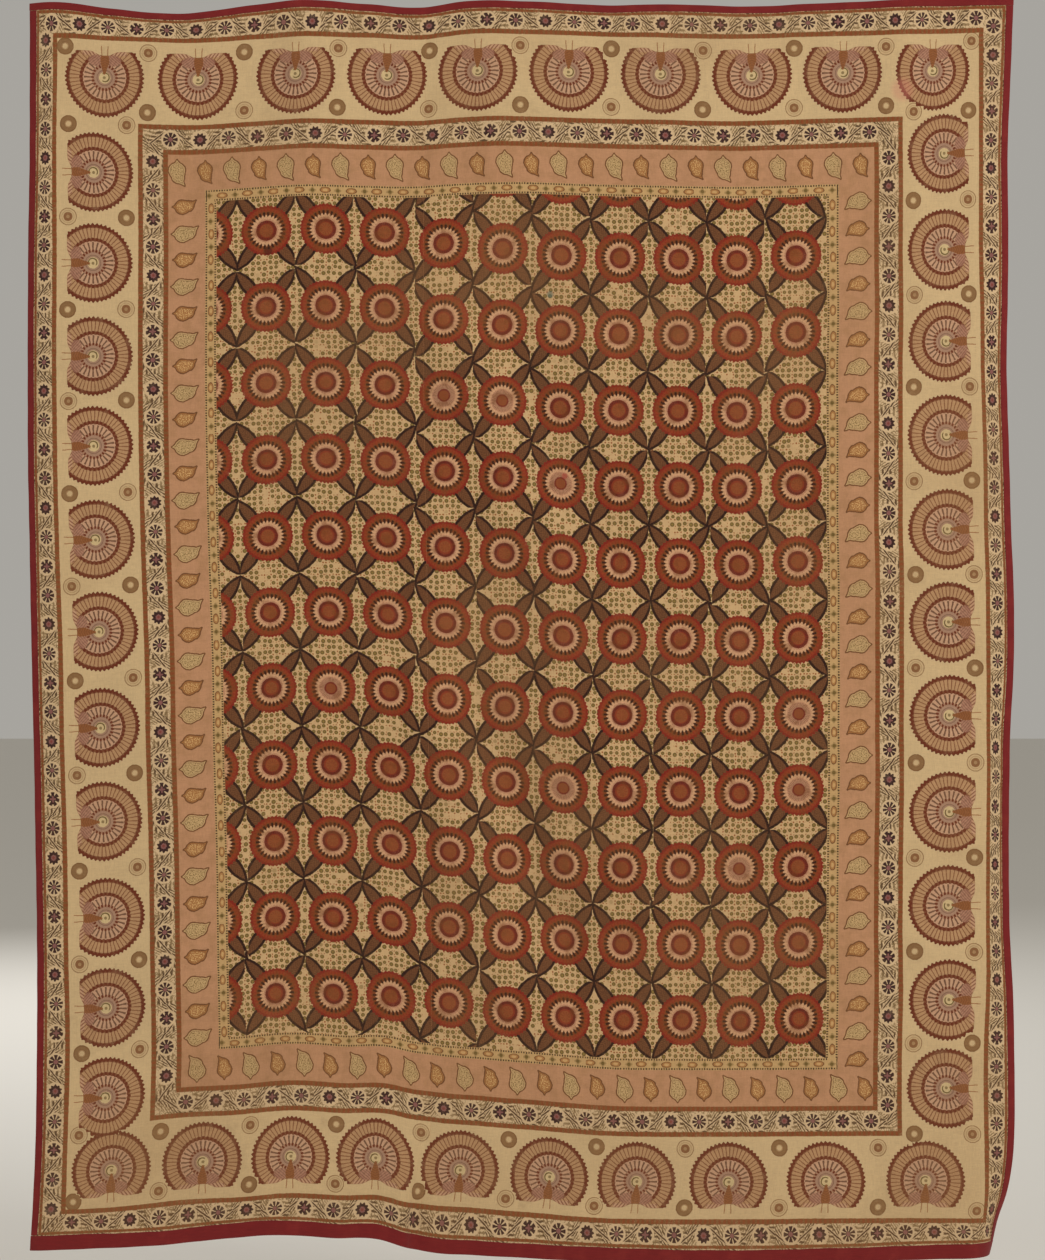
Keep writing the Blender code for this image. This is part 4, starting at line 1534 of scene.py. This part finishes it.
def build_strip(name, settings):
    width, start, end, flat_place_at = strip_side(name)
    count = round(abs(end - start) / settings.binding_step)
    places = np.linspace(start, end, count + 1)
    share = uneven_width(places, width) / width

    def line(inward):
        return hung(*flat_place_at(places, inward * share))

    backwards = mitred_normals(line(width / 2), line(width) - line(0))
    facing = np.sign(backwards[:, 1].sum())
    profile = strip_profile(width, settings)
    points = np.array([line(inward) + facing * behind * backwards for inward, behind in profile])
    mesh, row, column = grid_mesh(name, points[::-1])
    run = np.linspace(0, 1, len(profile))[::-1][row] * width * 2
    flat = np.stack([run, places[column]], axis=-1)
    corners = corner_vertices(mesh)
    add_uv_map(mesh, "Print", flat[corners])
    piece = thickened(name + "_cotton", mesh, settings.binding_thickness)
    piece.data.materials.append(plain_material("Crimson cotton", "binding", settings))
    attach(piece, BODY)
    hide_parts(name)
    return piece


def build_stitches(name, centres, ahead, out, size, dye, body_slot, settings):
    """One mesh of as many small stitches: long along their thread, round across it."""
    pattern = bmesh.new()
    bmesh.ops.create_icosphere(pattern, subdivisions=1, radius=1.0)
    shape = np.array([vertex.co for vertex in pattern.verts])
    faces = np.array([[vertex.index for vertex in face.verts] for face in pattern.faces])
    pattern.free()
    ahead = ahead / np.linalg.norm(ahead, axis=1, keepdims=True)
    side = np.cross(ahead, out)
    side = side / np.linalg.norm(side, axis=1, keepdims=True)
    axes = np.stack([ahead * size[0], side * size[1], out * size[1]], axis=1)
    vertices = centres[:, None, :] + shape @ axes
    shifts = np.arange(len(centres))[:, None, None] * len(shape)
    mesh = bpy.data.meshes.new(name)
    mesh.from_pydata(vertices.reshape(-1, 3).tolist(), [], (faces + shifts).reshape(-1, 3).tolist())
    mesh.shade_smooth()
    mesh.materials.append(thread_material(f"Thread {dye}", dye, settings))
    piece = bpy.data.objects.new(name, mesh)
    bpy.context.scene.collection.objects.link(piece)
    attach(piece, BODY)
    return piece


def outward(across, down):
    """The cloth's normals towards the front, at some flat places."""
    step = NORMAL_STEP
    over = hung(across + step, down) - hung(across - step, down)
    under = hung(across, down + step) - hung(across, down - step)
    normal = np.cross(under, over)
    return normal / np.linalg.norm(normal, axis=-1, keepdims=True)


def strip_stitches(settings):
    """Running stitches along every strip's inner edge, in turns on the front and on the back."""
    centres, aheads, outs = [], [], []
    for name in STRIPS:
        width, start, end, flat_place_at = strip_side(name)
        start, end = sorted((start, end))
        places = np.arange(start + STITCH_MARGIN, end - STITCH_MARGIN, settings.stitch_pitch)
        level = settings.binding_offset + settings.binding_thickness / 2
        for facing, shift in ((1.0, 0.0), (-1.0, 0.5)):
            along = places + shift * settings.stitch_pitch
            inward = uneven_width(along, width) - settings.stitch_inset
            across, down = np.broadcast_arrays(*flat_place_at(along, inward))
            normal = outward(across, down)
            centres.append(hung(across, down) + normal * level * facing)
            after = hung(*flat_place_at(along + NORMAL_STEP, inward))
            aheads.append(after - hung(across, down))
            outs.append(normal)
    size = (settings.stitch_length / 2, settings.thread_radius)
    groups = (np.concatenate(group) for group in (centres, aheads, outs))
    return build_stitches("binding_stitches", *groups, size, "thread_red", BINDING_SLOT, settings)


def seam_stitches(settings):
    """Small slanting stitches that hold the loom widths together."""
    down = np.arange(TOP_STRIP, HEIGHT - FOOT_STRIP, settings.seam_pitch)
    across = np.full_like(down, SEAM_ACROSS)
    centres, aheads, outs = [], [], []
    normal = outward(across, down)
    for facing in (1.0, -1.0):
        level = facing * settings.cotton_thickness / 2
        centres.append(hung(across, down) + normal * level)
        slant = settings.seam_pitch * SEAM_SLANT * facing
        aheads.append(hung(across + settings.seam_reach, down + slant) - hung(across, down))
        outs.append(normal)
    size = (settings.seam_reach, settings.thread_radius)
    groups = (np.concatenate(group) for group in (centres, aheads, outs))
    return build_stitches("seam_stitches", *groups, size, "thread_pale", COTTON_SLOT, settings)


# Settings, in the sidebar: sizes in metres and dyes.
def dye_property(name, red, green, blue):
    """A colour, given here as numbers from 0 to 255 on the usual display scale."""
    shares = np.array([red, green, blue]) / 255
    linear = np.where(shares <= 0.04045, shares / 12.92, ((shares + 0.055) / 1.055) ** 2.4)
    return bpy.props.FloatVectorProperty(
        name=name, description=f"{name} in the cloth", default=linear.tolist(), subtype="COLOR",
        size=3, min=0, max=1,
    )


def size_property(name, description, default):
    return bpy.props.FloatProperty(
        name=name, description=description, default=default, min=0, precision=5, unit="LENGTH"
    )


class HangingDyes(bpy.types.PropertyGroup):
    """Every colour of the cotton, of its prints and of the soiling on it."""

    cream: dye_property("Cream ground", 195, 166, 122)
    guard_ground: dye_property("Guard ground", 200, 170, 130)
    field_ground: dye_property("Field ground", 193, 158, 112)
    pink_ground: dye_property("Pink ground", 178, 130, 94)
    buff_ground: dye_property("Buff ground", 184, 148, 98)
    reverse_ground: dye_property("Reverse ground", 190, 160, 120)
    crimson: dye_property("Crimson print", 124, 26, 11)
    rust: dye_property("Rust print", 140, 55, 22)
    olive_brown: dye_property("Olive brown print", 112, 60, 20)
    umber: dye_property("Umber print", 36, 9, 2)
    rose: dye_property("Rose print", 200, 152, 112)
    dusty_pink: dye_property("Dusty pink print", 176, 122, 92)
    maroon: dye_property("Maroon print", 108, 28, 14)
    chestnut: dye_property("Chestnut print", 106, 64, 35)
    olive: dye_property("Olive print", 92, 72, 26)
    olive_pale: dye_property("Pale olive print", 150, 124, 62)
    russet: dye_property("Russet print", 138, 74, 34)
    dark_maroon: dye_property("Dark maroon print", 98, 38, 16)
    feather_tan: dye_property("Feather tan print", 174, 134, 94)
    feather_line: dye_property("Feather line print", 120, 74, 46)
    feather_pink: dye_property("Feather pink print", 186, 144, 112)
    grey_green: dye_property("Grey green print", 92, 60, 42)
    lavender: dye_property("Lavender print", 158, 122, 98)
    pale_yellow: dye_property("Pale yellow print", 198, 172, 124)
    hook: dye_property("Neck print", 96, 76, 40)
    body_brown: dye_property("Body brown print", 134, 80, 42)
    disc_brown: dye_property("Disc brown print", 112, 74, 38)
    disc_rim: dye_property("Disc rim print", 158, 124, 84)
    disc_rust: dye_property("Disc rust print", 122, 78, 44)
    flower_dark: dye_property("Flower print", 46, 20, 20)
    flower_red: dye_property("Red flower print", 120, 52, 44)
    wing_mauve: dye_property("Wing print", 160, 112, 90)
    vine_dark: dye_property("Dark vine print", 72, 48, 28)
    mauve: dye_property("Mauve print", 132, 84, 78)
    vine: dye_property("Vine print", 104, 80, 44)
    paisley_line: dye_property("Paisley line print", 104, 64, 34)
    paisley_pale: dye_property("Paisley pale print", 192, 160, 110)
    ochre: dye_property("Ochre print", 152, 98, 48)
    ochre_light: dye_property("Light ochre print", 202, 162, 106)
    line_brown: dye_property("Line brown print", 124, 78, 38)
    dot_brown: dye_property("Dotted line print", 62, 42, 22)
    stain_blue: dye_property("Blue spot", 70, 96, 86)
    stain_red: dye_property("Red spot", 150, 30, 30)
    stain_pink: dye_property("Pink bleed", 190, 110, 96)
    soil: dye_property("Soiling", 142, 104, 64)
    soil_dark: dye_property("Dark soiling", 104, 72, 44)
    binding: dye_property("Crimson binding", 112, 26, 25)
    binding_worn: dye_property("Worn binding", 130, 42, 34)
    thread_red: dye_property("Red thread", 92, 22, 22)
    thread_pale: dye_property("Pale thread", 176, 118, 72)


class HangingSettings(bpy.types.PropertyGroup):
    """The sizes and the dyes that the operators build the hanging's cloth by."""

    dyes: bpy.props.PointerProperty(type=HangingDyes)
    cotton_thickness: size_property("Cotton", "Thickness of the printed cotton", 0.0009)
    binding_thickness: size_property("Binding", "Thickness of the folded strips", 0.0007)
    binding_offset: size_property("Binding offset", "From the cotton's middle to a strip's", 0.0012)
    binding_step: size_property("Binding step", "Length of the strips' faces", 0.010)
    stitch_pitch: size_property("Stitch pitch", "From one running stitch to the next", 0.0052)
    stitch_length: size_property("Stitch length", "Length of a running stitch", 0.0024)
    stitch_inset: size_property("Stitch inset", "From a strip's inner edge to its stitches", 0.0022)
    thread_radius: size_property("Thread", "Half the thickness of the sewing thread", 0.00026)
    seam_pitch: size_property("Seam pitch", "From one seam stitch to the next", 0.0026)
    seam_reach: size_property("Seam reach", "How far a seam stitch reaches to each side", 0.0010)


class StageSettings(bpy.types.PropertyGroup):
    """The camera, the lights and the floor."""

    camera_distance: size_property(
        "Camera distance", "From the camera to the top edge's plane", CAMERA_DISTANCE
    )
    camera_height: bpy.props.FloatProperty(
        name="Camera height", description="The camera's height in the frame",
        default=CAMERA_HEIGHT, unit="LENGTH",
    )
    camera_aside: bpy.props.FloatProperty(
        name="Camera aside", description="The camera's place across", default=CAMERA_ASIDE,
        unit="LENGTH",
    )
    lens: bpy.props.FloatProperty(
        name="Lens", description="Focal length in millimetres", default=LENS, min=1, unit="CAMERA"
    )
    floor_drop: size_property("Floor drop", "From the hanging's foot down to the floor", 0.22)
    key_power: bpy.props.FloatProperty(
        name="Key light", description="Power of the light at the right front", default=440.0, min=0,
        unit="POWER",
    )
    fill_power: bpy.props.FloatProperty(
        name="Fill light", description="Power of the light at the left front", default=172.0, min=0,
        unit="POWER",
    )
    back_power: bpy.props.FloatProperty(
        name="Back light", description="Power of the light behind the hanging", default=260.0, min=0,
        unit="POWER",
    )
    sky: bpy.props.FloatProperty(
        name="Surroundings", description="Strength of the pale surroundings", default=0.51, min=0
    )
    pale: dye_property("Floor and surroundings", 226, 222, 214)


class HangingOperator:
    """What every operator of the hanging has in common."""

    bl_options = {"REGISTER", "UNDO"}


class HANGING_OT_cloth_left(HangingOperator, bpy.types.Operator):
    """Adds the narrow loom width, with its part of the print"""

    bl_idname = "hanging.cloth_left"
    bl_label = "Narrow loom width"

    def execute(self, context):
        piece = build_cloth("cloth_left", True, context.scene.hanging)
        return {"FINISHED"}


class HANGING_OT_cloth_right(HangingOperator, bpy.types.Operator):
    """Adds the wide loom width, with its part of the print, and the stitches of the seam"""

    bl_idname = "hanging.cloth_right"
    bl_label = "Wide loom width"

    def execute(self, context):
        piece = build_cloth("cloth_right", False, context.scene.hanging)
        stitches = seam_stitches(context.scene.hanging)
        return {"FINISHED"}


class HANGING_OT_bindings(HangingOperator, bpy.types.Operator):
    """Adds the four folded crimson strips and their running stitches"""

    bl_idname = "hanging.bindings"
    bl_label = "Bound edges"

    def execute(self, context):
        for name in STRIPS:
            build_strip(name, context.scene.hanging)
        strip_stitches(context.scene.hanging)
        return {"FINISHED"}


class HANGING_OT_stage(HangingOperator, bpy.types.Operator):
    """Adds the camera, the lights and the floor"""

    bl_idname = "hanging.stage"
    bl_label = "Stage"

    def execute(self, context):
        build_stage(context.scene, context.scene.hanging_stage)
        return {"FINISHED"}


def add_light(scene, name, place, power, size):
    light = bpy.data.lights.new(name, "AREA")
    light.energy = power
    light.shape = "SQUARE"
    light.size = size
    holder = bpy.data.objects.new(name, light)
    holder.location = place
    aim = Vector((0.0, 0.0, -HEIGHT / 2)) - Vector(place)
    holder.rotation_euler = aim.to_track_quat("-Z", "Y").to_euler()
    scene.collection.objects.link(holder)


def build_stage(scene, stage):
    camera = bpy.data.cameras.new("Camera")
    camera.lens = stage.lens
    camera.sensor_width = SENSOR_WIDTH
    holder = bpy.data.objects.new("Camera", camera)
    holder.location = (stage.camera_aside, -stage.camera_distance, stage.camera_height)
    holder.rotation_euler = (np.pi / 2, 0.0, 0.0)
    scene.collection.objects.link(holder)
    scene.camera = holder
    add_light(scene, "Key light", KEY_PLACE, stage.key_power, KEY_SIZE)
    add_light(scene, "Fill light", FILL_PLACE, stage.fill_power, FILL_SIZE)
    add_light(scene, "Back light", BACK_PLACE, stage.back_power, BACK_SIZE)
    world = bpy.data.worlds.new("Pale surroundings")
    world.use_nodes = True
    background = world.node_tree.nodes["Background"]
    background.inputs["Color"].default_value = (*stage.pale, 1.0)
    background.inputs["Strength"].default_value = stage.sky
    scene.world = world
    material = bpy.data.materials.new("Pale floor")
    material.use_nodes = True
    shader = material.node_tree.nodes["Principled BSDF"]
    shader.inputs["Base Color"].default_value = (*stage.pale, 1.0)
    shader.inputs["Roughness"].default_value = FLOOR_ROUGHNESS
    sheet = bmesh.new()
    bmesh.ops.create_grid(sheet, x_segments=1, y_segments=1, size=FLOOR_HALF)
    mesh = bpy.data.meshes.new("floor")
    sheet.to_mesh(mesh)
    sheet.free()
    mesh.materials.append(material)
    floor = bpy.data.objects.new("floor", mesh)
    floor.location.z = -HEIGHT - stage.floor_drop
    scene.collection.objects.link(floor)
    scene.view_settings.view_transform = "Standard"


class HANGING_PT_panel(bpy.types.Panel):
    """Lists the operators and their settings"""

    bl_label = "Block printed hanging"
    bl_space_type = "VIEW_3D"
    bl_region_type = "UI"
    bl_category = "Hanging"

    def draw(self, context):
        for operator in OPERATORS:
            self.layout.operator(operator.bl_idname)
        for group in (context.scene.hanging, context.scene.hanging.dyes, context.scene.hanging_stage):
            for name in group.__annotations__:
                if name != "dyes":
                    self.layout.prop(group, name)


OPERATORS = (
    HANGING_OT_cloth_left, HANGING_OT_cloth_right, HANGING_OT_bindings, HANGING_OT_stage,
)
CLASSES = (HangingDyes, HangingSettings, StageSettings, *OPERATORS, HANGING_PT_panel)


def register():
    for kind in CLASSES:
        bpy.utils.register_class(kind)
    bpy.types.Scene.hanging = bpy.props.PointerProperty(type=HangingSettings)
    bpy.types.Scene.hanging_stage = bpy.props.PointerProperty(type=StageSettings)


def unregister():
    del bpy.types.Scene.hanging_stage
    del bpy.types.Scene.hanging
    for kind in reversed(CLASSES):
        bpy.utils.unregister_class(kind)


def main():
    register()
    bpy.ops.hanging.cloth_left()
    bpy.ops.hanging.cloth_right()
    bpy.ops.hanging.bindings()
    bpy.ops.hanging.stage()


if __name__ == "__main__":
    main()
